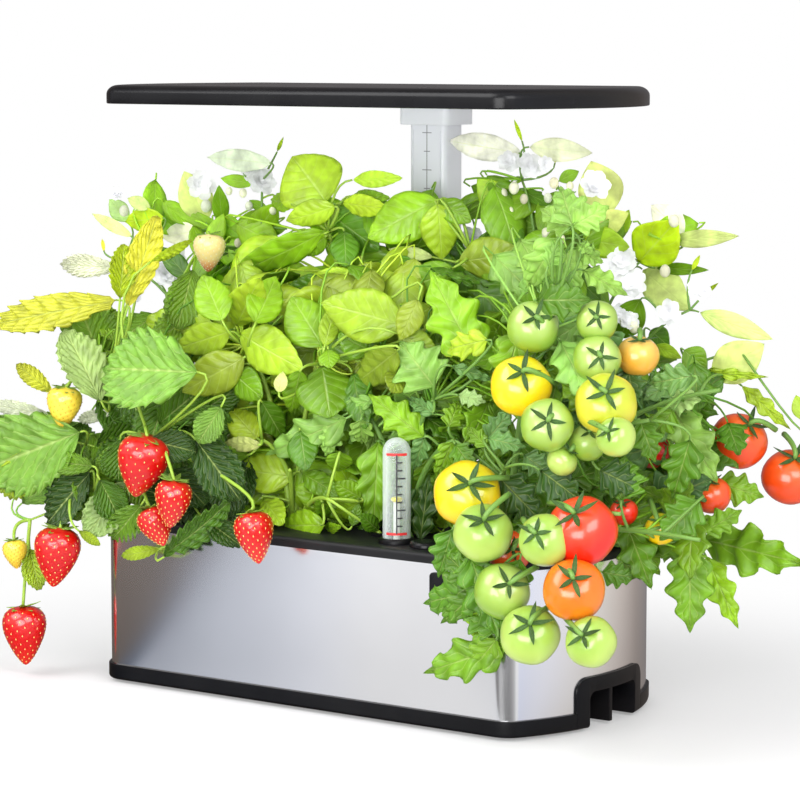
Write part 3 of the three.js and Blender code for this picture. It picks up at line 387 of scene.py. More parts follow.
def moulded_material(name, dark, light, smooth, rough, grain, depth, metallic=0, specular=0.5):
    """A moulded or cast surface with faint mottling, uneven gloss and fine grain."""
    material, tree, shader = node_material(name, light, rough, metallic)
    shader.inputs["Specular IOR Level"].default_value = specular
    mottle = object_noise(tree, MOTTLE_SCALE)
    colour = colour_stops(tree, mottle, ((NOISE_LOW, dark), (NOISE_HIGH, light)))
    tree.links.new(colour, shader.inputs["Base Color"])
    tree.links.new(spread(tree, mottle, smooth, rough), shader.inputs["Roughness"])
    add_bump(tree, shader, object_noise(tree, grain, GRAIN_DETAIL), GRAIN_STRENGTH, depth)
    return material


MOTTLE_SCALE = 30
GRAIN_STRENGTH = 0.35
GRAIN_DETAIL = 2
FINE_GRAIN = 1800
COARSE_GRAIN = 900

gloss_black = moulded_material(
    "gloss_black", (0.005, 0.005, 0.006), (0.008, 0.008, 0.009), 0.2, 0.28, FINE_GRAIN, 0.02, specular=0.2)
trim_black = moulded_material(
    "trim_black", (0.003, 0.003, 0.004), (0.005, 0.005, 0.006), 0.3, 0.4, FINE_GRAIN, 0.04, specular=0.15)
matte_black = moulded_material(
    "matte_black", (0.006, 0.006, 0.007), (0.01, 0.01, 0.011), 0.42, 0.55, COARSE_GRAIN, 0.08, specular=0.25)
silver_grey = moulded_material(
    "silver_grey", (0.66, 0.67, 0.73), (0.7, 0.71, 0.77), 0.3, 0.4, FINE_GRAIN, 0.03)
white_plastic = moulded_material(
    "white_plastic", (0.78, 0.78, 0.76), (0.84, 0.84, 0.82), 0.35, 0.48, FINE_GRAIN, 0.03)
yellow_plastic = moulded_material(
    "yellow_plastic", (0.75, 0.62, 0.01), (0.85, 0.72, 0.02), 0.35, 0.45, FINE_GRAIN, 0.03)
foot_rubber = moulded_material(
    "foot_rubber", (0.02, 0.02, 0.02), (0.035, 0.035, 0.035), 0.7, 0.85, COARSE_GRAIN, 0.15)
circuit_green = moulded_material(
    "circuit_green", (0.012, 0.11, 0.04), (0.02, 0.16, 0.06), 0.3, 0.45, COARSE_GRAIN, 0.05)
board_metal = moulded_material(
    "board_metal", (0.6, 0.61, 0.62), (0.72, 0.73, 0.74), 0.3, 0.45, COARSE_GRAIN, 0.03, 1)
scale_black = moulded_material(
    "scale_black", (0.02, 0.02, 0.022), (0.04, 0.04, 0.042), 0.5, 0.6, FINE_GRAIN, 0.02)
scale_grey = moulded_material(
    "scale_grey", (0.16, 0.165, 0.18), (0.2, 0.205, 0.22), 0.5, 0.6, FINE_GRAIN, 0.02)
scale_red = moulded_material(
    "scale_red", (0.6, 0.015, 0.02), (0.72, 0.03, 0.03), 0.45, 0.55, FINE_GRAIN, 0.02)


def steel_material():
    """Satin stainless sheet with long fine brushing along its length."""
    material, tree, shader = node_material("satin_steel", STEEL_LIGHT, STEEL_ROUGHNESS, 1)
    brushing = object_noise(tree, BRUSH_SCALE, BRUSH_DETAIL, BRUSH_STRETCH)
    clouds = object_noise(tree, CLOUD_SCALE)
    colour = colour_stops(tree, clouds, ((NOISE_LOW, STEEL_DARK), (NOISE_HIGH, STEEL_LIGHT)))
    tree.links.new(colour, shader.inputs["Base Color"])
    add_bump(tree, shader, brushing, BRUSH_STRENGTH, BRUSH_DEPTH)
    return material


BRUSH_SCALE = 500
BRUSH_DETAIL = 4
BRUSH_STRETCH = (0.02, 0.02, 1)
BRUSH_STRENGTH = 0.05
BRUSH_DEPTH = 0.01
CLOUD_SCALE = 12
STEEL_ROUGHNESS = 0.17
STEEL_DARK = (0.88, 0.88, 0.9)
STEEL_LIGHT = (0.93, 0.93, 0.95)

satin_steel = steel_material()


def clear_material(name, tint, roughness):
    """Clear moulded plastic: mostly see-through, with a bright rim."""
    material, tree, shader = node_material(name, tint, roughness)
    clear = add_node(tree, "ShaderNodeBsdfTransparent", Color=(*CLEAR_TINT, 1))
    edge = add_node(tree, "ShaderNodeLayerWeight", Blend=CLEAR_EDGE)
    smudge = object_noise(tree, MOTTLE_SCALE)
    tree.links.new(spread(tree, smudge, roughness, 2 * roughness), shader.inputs["Roughness"])
    share = spread(tree, edge.outputs["Facing"], CLEAR_FACE_SHARE, CLEAR_EDGE_SHARE, 0, 1)
    mix_shaders(tree, share, clear, shader)
    return material


CLEAR_TINT = (0.96, 0.98, 0.97)
CLEAR_EDGE = 0.35
CLEAR_FACE_SHARE = 0.1
CLEAR_EDGE_SHARE = 0.85

clear_plastic = clear_material("clear_plastic", (0.8, 0.85, 0.83), 0.05)


# Casing

BASE_END_RADIUS = 145
LAMP_END_RADIUS = 149
PLAN_BEND_RADIUS = 18

plinth_low, plinth_high = box_mm("base_plinth")
frame_low, frame_high = box_mm("handle_frame_right")
steel_low, steel_high = box_mm("steel_wrap")
deck_low, deck_high = box_mm("grow_deck")
dock_low, dock_high = box_mm("post_dock")
lamp_low, lamp_high = box_mm("lamp_shell")

BASE_PLAN = (2 * frame_high.x, 2 * plinth_high.y, BASE_END_RADIUS, PLAN_BEND_RADIUS)
LAMP_PLAN = (2 * lamp_high.x, 2 * lamp_high.y, LAMP_END_RADIUS, PLAN_BEND_RADIUS)
STEEL_INSET = BASE_PLAN[1] / 2 - steel_high.y
STEEL_THICKNESS = 0.8
FIT_GAP = 0.3
PLINTH_EDGE = 2.4
SPIGOT_WALL = 2.4
TRAY_FLOOR = 2.5
HANDLE_CORNER = 10
HANDLE_WALL = 2.5
POCKET_HALF_WIDTH = 27
POCKET_TOP = 25
POCKET_CORNER = 5
RIB_WIDTH = 4
RIB_SETBACK = 4
RIB_STEPS = 3
SIDES = (("right", 1), ("left", -1))
ROUND_STEPS = 6
EDGE_SOFT = 0.5


def quarter_levels(inset, height, radius, upward):
    """Insets and heights of a rounded edge, a quarter circle in ROUND_STEPS steps."""
    levels = []
    for step in range(ROUND_STEPS + 1):
        angle = math.pi / 2 * step / ROUND_STEPS
        levels.append((inset + radius * (1 - math.cos(angle)), height + upward * radius * math.sin(angle)))
    return levels


def plinth_levels(top):
    return quarter_levels(0, plinth_low.z + PLINTH_EDGE, PLINTH_EDGE, -1)[::-1] + [(0, top)]


def handle_face(side, gap):
    return arch_prism(frame_high.y + gap, frame_high.z + gap, HANDLE_CORNER, plinth_low.z - OVERRUN,
                      frame_low.x, frame_high.x + OVERRUN, side)


def handle_pocket(side, gap, wall):
    inner = frame_low.x - gap + HANDLE_WALL - wall
    return arch_prism(POCKET_HALF_WIDTH + wall + gap, POCKET_TOP + wall + gap, POCKET_CORNER,
                      plinth_low.z - OVERRUN, inner, frame_high.x + OVERRUN, side)


def dock_prism(gap, low, high):
    width = 2 * (dock_high.x + gap)
    depth = dock_high.y - dock_low.y + gap + OVERRUN
    return prism(rounded_outline(width, depth, DOCK_CORNER, 0, dock_low.y - gap + depth / 2), low, high)


DOCK_CORNER = 3


def make_plinth():
    spigot_top = plinth_high.z
    rim_top = steel_low.z
    spigot_inset = STEEL_INSET + STEEL_THICKNESS + FIT_GAP
    tray_inset = spigot_inset + SPIGOT_WALL
    floor = plinth_low.z + TRAY_FLOOR
    levels = plinth_levels(rim_top - EDGE_SOFT)
    levels += quarter_levels(0, rim_top - EDGE_SOFT, EDGE_SOFT, 1)[1:]
    levels += [(spigot_inset, rim_top), (spigot_inset, spigot_top)]
    levels += [(tray_inset, spigot_top), (tray_inset, floor)]
    plinth = object_of("plinth_trim", plan_loft(BASE_PLAN, levels))
    band = plan_loft(BASE_PLAN, [(STEEL_INSET, 0), (STEEL_INSET, steel_low.z + OVERRUN)])
    for _, side in SIDES:
        notch = object_of("notch", handle_face(side, FIT_GAP))
        combine(notch, [band])
        combine_one(plinth, notch)
        combine(plinth, [handle_pocket(side, FIT_GAP, HANDLE_WALL)])
    combine(plinth, [dock_prism(FIT_GAP, steel_low.z, spigot_top + OVERRUN)])
    dress(plinth, "base", trim_black, ["base_plinth"])


def make_handles():
    reach = frame_high.z + OVERRUN
    for name, side in SIDES:
        face = object_of(f"hand_recess_{name}", handle_face(side, 0))
        behind = STEEL_INSET - FIT_GAP
        combine(face, [plan_loft(BASE_PLAN, [(behind, -OVERRUN), (behind, reach)])])
        combine(face, [handle_pocket(side, 0, HANDLE_WALL)], "UNION")
        combine(face, [handle_pocket(side, 0, 0)])
        inner = frame_low.x + HANDLE_WALL / 2
        outer = frame_high.x - RIB_SETBACK
        rib = rounded_outline(outer - inner, RIB_WIDTH, EDGE_SOFT, side * (inner + outer) / 2, 0, RIB_STEPS)
        combine(face, [prism(rib, plinth_low.z, POCKET_TOP + HANDLE_WALL / 2)], "UNION")
        combine(face, [plan_loft(BASE_PLAN, plinth_levels(reach))], "INTERSECT")
        soften(face, EDGE_SOFT)
        dress(face, "base", trim_black, [f"handle_frame_{name}"])


def make_steel():
    inner = STEEL_INSET + STEEL_THICKNESS
    low, high = steel_low.z, steel_high.z
    levels = [(STEEL_INSET, low), (STEEL_INSET, high)]
    steel = object_of("steel_sheet", plan_loft(BASE_PLAN, levels))
    combine(steel, [plan_loft(BASE_PLAN, [(inner, low - OVERRUN), (inner, high + OVERRUN)])])
    for _, side in SIDES:
        combine(steel, [handle_pocket(side, FIT_GAP, HANDLE_WALL)])
    combine(steel, [dock_prism(FIT_GAP, low - OVERRUN, high + OVERRUN)])
    neck = panel_outline(NECK_INSET)
    combine(steel, [standing_prism(neck, -BASE_PLAN[1] / 2 - OVERRUN, -BASE_PLAN[1] / 2 + 2 * OVERRUN)])
    dress(steel, "base", satin_steel, ["steel_wrap"])


panel_low, panel_high = box_mm("control_panel")
panel_middle = (panel_low + panel_high) / 2
panel_size = panel_high - panel_low
PANEL_CORNER = 3
PANEL_PROUD = 1.4
NECK_INSET = 2
DECK_ROUND = 3
DECK_PLATE = 3
SKIRT_WALL = 1.8
DECK_INSET = 1.4
POD_COUNT = 8
POD_HOLE = 17.9
GAUGE_HOLE = 10.9
CAP_HOLE = 8.3


def panel_outline(inset):
    return rounded_outline(panel_size.x - 2 * inset, panel_size.z - 2 * inset, PANEL_CORNER - inset,
                           panel_middle.x, panel_middle.z)


def pod_middles():
    for number in range(1, POD_COUNT + 1):
        low, high = box_mm(f"pod_basket_{number}")
        yield number, (low.x + high.x) / 2, (low.y + high.y) / 2


def circle_outline(radius, x, y, steps=48):
    turns = [2 * math.pi * step / steps for step in range(steps)]
    return [(x + radius * math.cos(turn), y + radius * math.sin(turn)) for turn in turns]


def make_deck():
    low, top = steel_high.z, deck_high.z
    skirt_inset = STEEL_INSET + STEEL_THICKNESS + FIT_GAP
    hollow_inset = skirt_inset + SKIRT_WALL
    under = top - DECK_PLATE
    levels = [(hollow_inset, under), (hollow_inset, deck_low.z), (skirt_inset, deck_low.z)]
    levels += [(skirt_inset, low), (DECK_INSET, low)]
    levels += quarter_levels(DECK_INSET, top - DECK_ROUND, DECK_ROUND, 1)
    deck = object_of("deck_lid", plan_loft(BASE_PLAN, levels))
    holes = [(POD_HOLE, x, y) for _, x, y in pod_middles()]
    holes += [(GAUGE_HOLE, *middle_of("gauge_collar").xy), (CAP_HOLE, *middle_of("fill_cap").xy)]
    combine(deck, [prism(circle_outline(*hole), deck_low.z - OVERRUN, top + OVERRUN) for hole in holes])
    combine(deck, [dock_prism(FIT_GAP, deck_low.z - OVERRUN, top + OVERRUN)])
    dress(deck, "base", matte_black, ["grow_deck"])


LAMP_WALL = 2.6
LAMP_SIDE = 6.2
LAMP_ROOF = 3.2
LAMP_LOWER_ROUND = 0.9
LAMP_CROWN_INSET = 8


def make_lamp():
    low, high = lamp_low.z, lamp_high.z
    side_top = low + LAMP_SIDE
    roof_low = high - LAMP_ROOF
    inner = [(LAMP_CROWN_INSET, roof_low), (LAMP_WALL, side_top - LAMP_WALL / 2), (LAMP_WALL, low)]
    outer = quarter_levels(0, low + LAMP_LOWER_ROUND, LAMP_LOWER_ROUND, -1)[::-1]
    outer.append((0, side_top))
    crown = high - side_top
    for step in range(1, 2 * ROUND_STEPS + 1):
        angle = math.pi / 2 * step / (2 * ROUND_STEPS)
        outer.append((LAMP_CROWN_INSET * (1 - math.cos(angle)), side_top + crown * math.sin(angle)))
    shell = object_of("lamp_housing", plan_loft(LAMP_PLAN, inner + outer))
    dress(shell, "lamp_head", gloss_black, ["lamp_shell"])


# Pods, gauge, cap and post

FINE_STEPS = 64
ROUND_EDGE = 0.7
BASKET_WALL = 1.4
BASKET_TOP_RADIUS = 17
BASKET_BOTTOM_RADIUS = 12
BASKET_FLANGE_RADIUS = 20
BASKET_SLOTS = 8
BASKET_SLOT_WIDTH = 4
BASKET_SLOT_LOW = 6
BASKET_SLOT_HIGH = 30
SPONGE_RINGS = 14
SPONGE_STEPS = 40
SPONGE_CROWN = 2
SPONGE_SHOULDER_SHARE = 0.8
SPONGE_ROUGHNESS = 0.7
SPONGE_LUMP_SCALE = 0.35


def make_pods():
    top = deck_high.z
    for number, x, y in pod_middles():
        node = f"pod_basket_{number}"
        low, high = box_mm(node)
        inner_top = BASKET_TOP_RADIUS - BASKET_WALL
        cup = [
            (0, low.z), (BASKET_BOTTOM_RADIUS - ROUND_EDGE, low.z),
            (BASKET_BOTTOM_RADIUS, low.z + ROUND_EDGE), (BASKET_TOP_RADIUS, top),
            (BASKET_FLANGE_RADIUS, top), (BASKET_FLANGE_RADIUS, high.z - ROUND_EDGE),
            (BASKET_FLANGE_RADIUS - ROUND_EDGE, high.z), (inner_top + ROUND_EDGE, high.z),
            (inner_top, high.z - ROUND_EDGE), (inner_top, top),
            (BASKET_BOTTOM_RADIUS - BASKET_WALL, low.z + BASKET_WALL), (0, low.z + BASKET_WALL),
        ]
        basket = object_of(f"basket_{number}", lathe(cup, x, y, FINE_STEPS))
        slots = []
        for slot in range(BASKET_SLOTS // 2):
            turn = Matrix.Rotation(2 * math.pi * slot / BASKET_SLOTS, 3, "Z")
            outline = rounded_outline(2 * BASKET_FLANGE_RADIUS, BASKET_SLOT_WIDTH, ROUND_EDGE, 0, 0, 2)
            points, faces = prism(outline, low.z + BASKET_SLOT_LOW, low.z + BASKET_SLOT_HIGH)
            slots.append(([turn @ p + Vector((x, y, 0)) for p in points], faces))
        combine(basket, slots)
        dress(basket, "base", trim_black, [node])


def make_sponges():
    for number, x, y in pod_middles():
        node = f"grow_sponge_{number}"
        low, high = box_mm(node)
        radius = (high.x - low.x) / 2
        bottom = BASKET_BOTTOM_RADIUS - BASKET_WALL - SPONGE_CROWN / 2
        profile = [(0, low.z)]
        for ring in range(SPONGE_RINGS + 1):
            share = ring / SPONGE_RINGS
            height = (high.z - SPONGE_CROWN - low.z) * share
            profile.append((bottom + (radius - bottom) * share, low.z + height))
        profile.append((radius * SPONGE_SHOULDER_SHARE, high.z - SPONGE_CROWN / 2))
        profile += [(radius / 2, high.z), (0, high.z)]
        points, faces = lathe(profile, x, y, SPONGE_STEPS)
        rough = [p + Vector((p.x - x, p.y - y, SPONGE_CROWN)).normalized() * SPONGE_ROUGHNESS
                 * (noise.noise(p * SPONGE_LUMP_SCALE) - 1) for p in points]
        sponge = object_of(f"sponge_{number}", (rough, faces))
        dress(sponge, "base", sponge_brown, [node])


sponge_brown = moulded_material(
    "sponge_brown", (0.05, 0.028, 0.014), (0.11, 0.065, 0.035), 0.85, 0.98, COARSE_GRAIN, 0.5)

GAUGE_RADIUS = 9
GAUGE_WALL = 1.3
DOME_STEPS = 10


def dome_profile(radius, low, high):
    """A tube that is closed by a round dome, open below, as its outer and then its inner side."""
    profile = [(radius, low)]
    inner = radius - GAUGE_WALL
    for step in range(DOME_STEPS + 1):
        angle = math.pi / 2 * step / DOME_STEPS
        profile.append((radius * math.cos(angle), high - radius + radius * math.sin(angle)))
    for step in range(DOME_STEPS, -1, -1):
        angle = math.pi / 2 * step / DOME_STEPS
        profile.append((inner * math.cos(angle), high - radius + inner * math.sin(angle)))
    profile.append((inner, low))
    return profile


# The printed scale on the gauge: its marks face the camera, and their pixel heights are read off the photo
GAUGE_LOW_MARK = 119.8
GAUGE_HIGH_MARK = 170.9
GAUGE_PITCHES = 10
GAUGE_LONG_MARKS = (3, 7)
GAUGE_LONG = 5
GAUGE_SHORT = 3.2
GAUGE_RED = 13
GAUGE_LINE = 0.9
GAUGE_RED_HEIGHT = 1.6
INK_DEPTH = 0.12
INK_LEAST_STEPS = 2
INK_STEPS_PER_MM = 2
GAUGE_FACING = math.radians(-54.4)


def curved_mark(middle, low, high, left, right):
    """A patch of ink on the gauge, from left to right as seen from the side that it faces."""
    steps = max(INK_LEAST_STEPS, int((right - left) * INK_STEPS_PER_MM))
    outline = []
    for depth, order in ((INK_DEPTH, 1), (-INK_DEPTH, -1)):
        for step in range(steps + 1)[::order]:
            across = left + (right - left) * step / steps
            angle = GAUGE_FACING + math.asin(across / GAUGE_RADIUS)
            reach = GAUGE_RADIUS + depth
            outline.append((middle.x + reach * math.cos(angle), middle.y + reach * math.sin(angle)))
    return prism(outline, low, high)


def join_skins(skins):
    points = []
    faces = []
    for skin_points, skin_faces in skins:
        shift = len(points)
        points += skin_points
        faces += [tuple(at + shift for at in face) for face in skin_faces]
    return points, faces


def make_gauge():
    low, high = box_mm("gauge_tube")
    middle = middle_of("gauge_tube")
    glass = dome_profile(GAUGE_RADIUS, low.z, high.z)
    tube = object_of("gauge_glass", lathe(glass, middle.x, middle.y, FINE_STEPS))
    dress(tube, "base", clear_plastic, ["gauge_tube"])
    pitch = (GAUGE_HIGH_MARK - GAUGE_LOW_MARK) / GAUGE_PITCHES
    line = GAUGE_LINE / 2
    black = [curved_mark(middle, GAUGE_LOW_MARK, GAUGE_HIGH_MARK, -line, line)]
    for at in range(1, GAUGE_PITCHES):
        z = GAUGE_LOW_MARK + at * pitch
        reach = GAUGE_LONG if at in GAUGE_LONG_MARKS else GAUGE_SHORT
        black.append(curved_mark(middle, z - line, z + line, line, line + reach))
    scale = object_of("gauge_scale", join_skins(black))
    dress(scale, "base", scale_black)
    reach = GAUGE_RED / 2
    thick = GAUGE_RED_HEIGHT / 2
    ends = (GAUGE_LOW_MARK, GAUGE_HIGH_MARK)
    red = [curved_mark(middle, z - thick, z + thick, -reach, reach) for z in ends]
    limits = object_of("gauge_limits", join_skins(red))
    dress(limits, "base", scale_red)


def turned_piece(name, node, profile, body, material, steps=48):
    middle = middle_of(node)
    thing = object_of(name, lathe(profile, middle.x, middle.y, steps))
    dress(thing, body, material, [node])


COLLAR_BORE = 9.3
COLLAR_GUIDE = 2.5
COLLAR_FLOOR = 2
COLLAR_EDGE_HEIGHT = 1.3
COLLAR_ROUND = 0.5
COLLAR_CROWN = 1.6


def make_collar():
    low, high = box_mm("gauge_collar")
    top = deck_high.z
    rim = (high.x - low.x) / 2
    floor = low.z + COLLAR_FLOOR
    profile = [
        (COLLAR_GUIDE, low.z), (GAUGE_HOLE - FIT_GAP, low.z), (GAUGE_HOLE - FIT_GAP, top), (rim, top),
        (rim, high.z - COLLAR_EDGE_HEIGHT), (rim - COLLAR_ROUND, high.z - COLLAR_ROUND),
        (rim - COLLAR_CROWN, high.z), (COLLAR_BORE, high.z), (COLLAR_BORE, floor), (COLLAR_GUIDE, floor),
    ]
    turned_piece("gauge_foot", "gauge_collar", profile, "base", trim_black, FINE_STEPS)


def rounded_bar_profile(radius, low, high, edge):
    profile = [(0, low), (radius - edge, low), (radius, low + edge), (radius, high - edge)]
    return profile + [(radius - edge / 3, high - edge / 3), (radius - edge, high), (0, high)]


# The pieces of the float: the node of each, its slot, its material and the size of its edge
FLOAT_PIECES = {
    "float_rod": ("float_stick", "white_plastic", white_plastic, 0.1),
    "float_body": ("float_block", "white_plastic", white_plastic, 1.2),
    "float_head": ("float_tip", "yellow_plastic", yellow_plastic, 1.0),
}


def make_float():
    for name, (node, slot, material, edge) in FLOAT_PIECES.items():
        low, high = box_mm(node)
        profile = rounded_bar_profile((high.x - low.x) / 2, low.z, high.z, edge)
        turned_piece(name, node, profile, "float", material)


CAP_PLUG_RADIUS = 8
CAP_PLUG_WALL = 1.6
CAP_CEILING = 0.3
CAP_EDGE = 0.4
# The rounded crown of the cap: how far each of its rings lies inside its rim, and its share of the height
CAP_RINGS = ((0, 0.5), (0.5, 0.72), (1.4, 0.86))
CAP_CROWN_SHARE = 0.93


def make_cap():
    low, high = box_mm("fill_cap")
    radius = (high.x - low.x) / 2
    top = deck_high.z
    plug = CAP_PLUG_RADIUS
    hollow = plug - CAP_PLUG_WALL
    height = high.z - top
    profile = [
        (0, top + CAP_CEILING), (hollow, top + CAP_CEILING), (hollow, low.z), (plug, low.z), (plug, top),
        (radius - CAP_EDGE, top), (radius, top + CAP_EDGE),
    ]
    profile += [(radius - inset, top + share * height) for inset, share in CAP_RINGS]
    profile += [(plug, top + CAP_CROWN_SHARE * height), (plug / 2, high.z), (0, high.z)]
    turned_piece("filler_cap", "fill_cap", profile, "cap", gloss_black, FINE_STEPS)


POLE_CORNER = 4
POLE_WALL = 1.8
GROOVE_X = 11
GROOVE_WIDTH = 0.6
GROOVE_DEPTH = 0.5
SLEEVE_GAP = 0.4
SLEEVE_WALL = 1.4
SLEEVE_RING_TOP_WALL = 2.6


def hollow_bar(name, width, depth, corner, wall, low, high, y, hole_corner):
    bar = object_of(name, prism(rounded_outline(width, depth, corner, 0, y), low, high))
    hole = rounded_outline(width - 2 * wall, depth - 2 * wall, hole_corner, 0, y)
    return combine(bar, [prism(hole, low - OVERRUN, high + OVERRUN)])


def make_post():
    low, high = box_mm("post_pole")
    size = high - low
    middle = (low + high) / 2
    pole = hollow_bar("pole_slide", size.x, size.y, POLE_CORNER, POLE_WALL, low.z, high.z, middle.y,
                      POLE_CORNER - POLE_WALL)
    collar_low, _ = box_mm("lamp_bracket")
    grooves = []
    for side in (-1, 1):
        outline = rounded_outline(GROOVE_WIDTH, 2 * GROOVE_DEPTH, GROOVE_WIDTH / 4, side * GROOVE_X, low.y, 2)
        grooves.append(prism(outline, low.z - OVERRUN, collar_low.z - POLE_CORNER))
    combine(pole, grooves)
    dress(pole, "lamp_head", silver_grey, ["post_pole"])

    sleeve_low, sleeve_high = box_mm("post_sleeve")
    size = sleeve_high - sleeve_low
    well_corner = POLE_CORNER + SLEEVE_GAP
    sleeve = hollow_bar("sleeve_tube", size.x, size.y, well_corner + SLEEVE_WALL, SLEEVE_WALL,
                        sleeve_low.z, sleeve_high.z, middle.y, well_corner)
    dress(sleeve, "base", silver_grey, ["post_sleeve"])

    ring_low, ring_high = box_mm("sleeve_ring")
    size = ring_high - ring_low
    outline = rounded_outline(size.x, size.y, well_corner + SLEEVE_RING_TOP_WALL, 0, middle.y)
    ring = object_of("guide_ring", prism(outline, ring_low.z, ring_high.z))
    tube = sleeve_high - sleeve_low
    seat = rounded_outline(tube.x + 2 * FIT_GAP, tube.y + 2 * FIT_GAP, well_corner + SLEEVE_WALL, 0, middle.y)
    well = rounded_outline(tube.x - 2 * SLEEVE_WALL, tube.y - 2 * SLEEVE_WALL, well_corner, 0, middle.y)
    combine(ring, [prism(seat, ring_low.z - OVERRUN, sleeve_high.z), prism(well, 0, ring_high.z + OVERRUN)])
    soften(ring, EDGE_SOFT)
    dress(ring, "base", silver_grey, ["sleeve_ring"])

    dock = object_of("post_socket", dock_prism(0, dock_low.z, dock_high.z))
    shell = plan_loft(BASE_PLAN, [(0, dock_low.z - OVERRUN), (0, dock_high.z + OVERRUN)])
    combine(dock, [shell], "INTERSECT")
    over = dock_high.z + OVERRUN
    combine(dock, [prism(well, WELL_FLOOR, over), prism(seat, sleeve_low.z, over)])
    jack_low, jack_high = box_mm("power_jack")
    hole = circle_outline(JACK_RADIUS + FIT_GAP, 0, (jack_low.z + jack_high.z) / 2)
    combine(dock, [standing_prism(hole, jack_low.y - FIT_GAP, jack_high.y + OVERRUN)])
    soften(dock, EDGE_SOFT / 2)
    dress(dock, "base", trim_black, ["post_dock"])


WELL_FLOOR = 54
JACK_RADIUS = 5.2
JACK_FLANGE_RADIUS = 7
JACK_BORE = 3
JACK_BORE_DEPTH = 8
JACK_PIN = 0.9
PIN_STEPS = 16
COLLAR_CORNER = 5
NECK_WIDTH = 34
NECK_DEPTH = 14


def make_bracket():
    low, high = box_mm("lamp_bracket")
    size = high - low
    middle_y = (low.y + high.y) / 2
    pole_low, pole_high = box_mm("post_pole")
    body = object_of("lamp_collar", prism(rounded_outline(size.x, size.y, COLLAR_CORNER, 0, middle_y),
                                          low.z, lamp_low.z))
    soften(body, EDGE_SOFT)
    neck = rounded_outline(NECK_WIDTH, NECK_DEPTH, COLLAR_CORNER, 0, middle_y)
    combine(body, [prism(neck, lamp_low.z - OVERRUN, high.z)], "UNION")
    hole = rounded_outline(pole_high.x * 2 + 2 * FIT_GAP, pole_high.y - pole_low.y + 2 * FIT_GAP,
                           POLE_CORNER + FIT_GAP, 0, middle_y)
    combine(body, [prism(hole, low.z - OVERRUN, pole_high.z)])
    dress(body, "lamp_head", silver_grey, ["lamp_bracket"])


# The marks printed on the pole: a centre line with long and short ticks
POLE_MARK_TOP = 371
POLE_MARK_PITCH = 12.5
POLE_LONG_MARK = 7.5
POLE_SHORT_MARK = 5
POLE_INK = 0.55


def make_pole_marks():
    low, _ = box_mm("post_pole")
    collar_low, _ = box_mm("lamp_bracket")
    front = low.y
    count = int((POLE_MARK_TOP - low.z - OVERRUN) / POLE_MARK_PITCH)
    boxes = [(POLE_INK, POLE_MARK_TOP - count * POLE_MARK_PITCH, collar_low.z - INK_DEPTH)]
    for at in range(count + 1):
        z = POLE_MARK_TOP - at * POLE_MARK_PITCH
        boxes.append((POLE_SHORT_MARK if at % 2 else POLE_LONG_MARK, z - POLE_INK / 2, z + POLE_INK / 2))
    skins = []
    for width, bottom, top in boxes:
        outline = [(-width / 2, front - INK_DEPTH), (width / 2, front - INK_DEPTH),
                   (width / 2, front + INK_DEPTH), (-width / 2, front + INK_DEPTH)]
        skins.append(prism(outline, bottom, top))
    marks = object_of("pole_marks", join_skins(skins))
    dress(marks, "lamp_head", scale_grey)


def make_lens():
    low, high = box_mm("lamp_diffuser")
    inset = LAMP_WALL + FIT_GAP
    lens = object_of("lamp_lens", plan_loft(LAMP_PLAN, [(inset, low.z), (inset, high.z)]))
    neck = rounded_outline(NECK_WIDTH + 2 * FIT_GAP, NECK_DEPTH + 2 * FIT_GAP, COLLAR_CORNER, 0,
                           middle_of("lamp_bracket").y)
    combine(lens, [prism(neck, low.z - OVERRUN, high.z + OVERRUN)])
    dress(lens, "lamp_head", white_plastic, ["lamp_diffuser"])


BUTTONS = {"button_light": "light_button", "button_mode": "mode_button", "button_pump": "pump_button"}
BUTTON_STEPS = 40
BUTTON_RADIUS = 4
BUTTON_GAP = 0.3
BUTTON_FLANGE = 0.8
NECK_PLATE = 0.9


def make_panel():
    front = panel_low.y
    skin = -BASE_PLAN[1] / 2 + STEEL_INSET
    face = object_of("panel_face", standing_prism(panel_outline(0), front, skin))
    soften(face, EDGE_SOFT / 2)
    neck = panel_outline(NECK_INSET)
    neck_back = skin + STEEL_THICKNESS + NECK_PLATE
    combine(face, [standing_prism(neck, skin - PANEL_PROUD / 2, neck_back)], "UNION")
    for node in BUTTONS:
        middle = middle_of(node)
        hole = circle_outline(BUTTON_RADIUS + BUTTON_GAP, middle.x, middle.z)
        combine(face, [standing_prism(hole, front - OVERRUN, neck_back + OVERRUN)])
    dress(face, "base", gloss_black, ["control_panel"])
    for node, body in BUTTONS.items():
        low, high = box_mm(node)
        middle = middle_of(node)
        cap = circle_outline(BUTTON_RADIUS, middle.x, middle.z, BUTTON_STEPS)
        thing = object_of(f"{body}_cap", standing_prism(cap, low.y, high.y))
        soften(thing, EDGE_SOFT / 2)
        flange = circle_outline((high.x - low.x) / 2, middle.x, middle.z, BUTTON_STEPS)
        combine(thing, [standing_prism(flange, high.y - BUTTON_FLANGE, high.y)], "UNION")
        dress(thing, body, silver_grey, [node])


def make_jack():
    low, high = box_mm("power_jack")
    z = (low.z + high.z) / 2
    flange_front = BASE_PLAN[1] / 2
    flange = circle_outline(JACK_FLANGE_RADIUS, 0, z)
    jack = object_of("power_socket", standing_prism(flange, flange_front, high.y))
    soften(jack, EDGE_SOFT / 2)
    barrel = circle_outline(JACK_RADIUS, 0, z)
    combine(jack, [standing_prism(barrel, low.y, flange_front + INK_DEPTH)], "UNION")
    combine(jack, [standing_prism(circle_outline(JACK_BORE, 0, z), flange_front - JACK_BORE_DEPTH,
                                  high.y + OVERRUN)])
    pin = circle_outline(JACK_PIN, 0, z, PIN_STEPS)
    combine(jack, [standing_prism(pin, flange_front - JACK_BORE_DEPTH - JACK_PIN, flange_front)], "UNION")
    dress(jack, "base", matte_black, ["power_jack"])


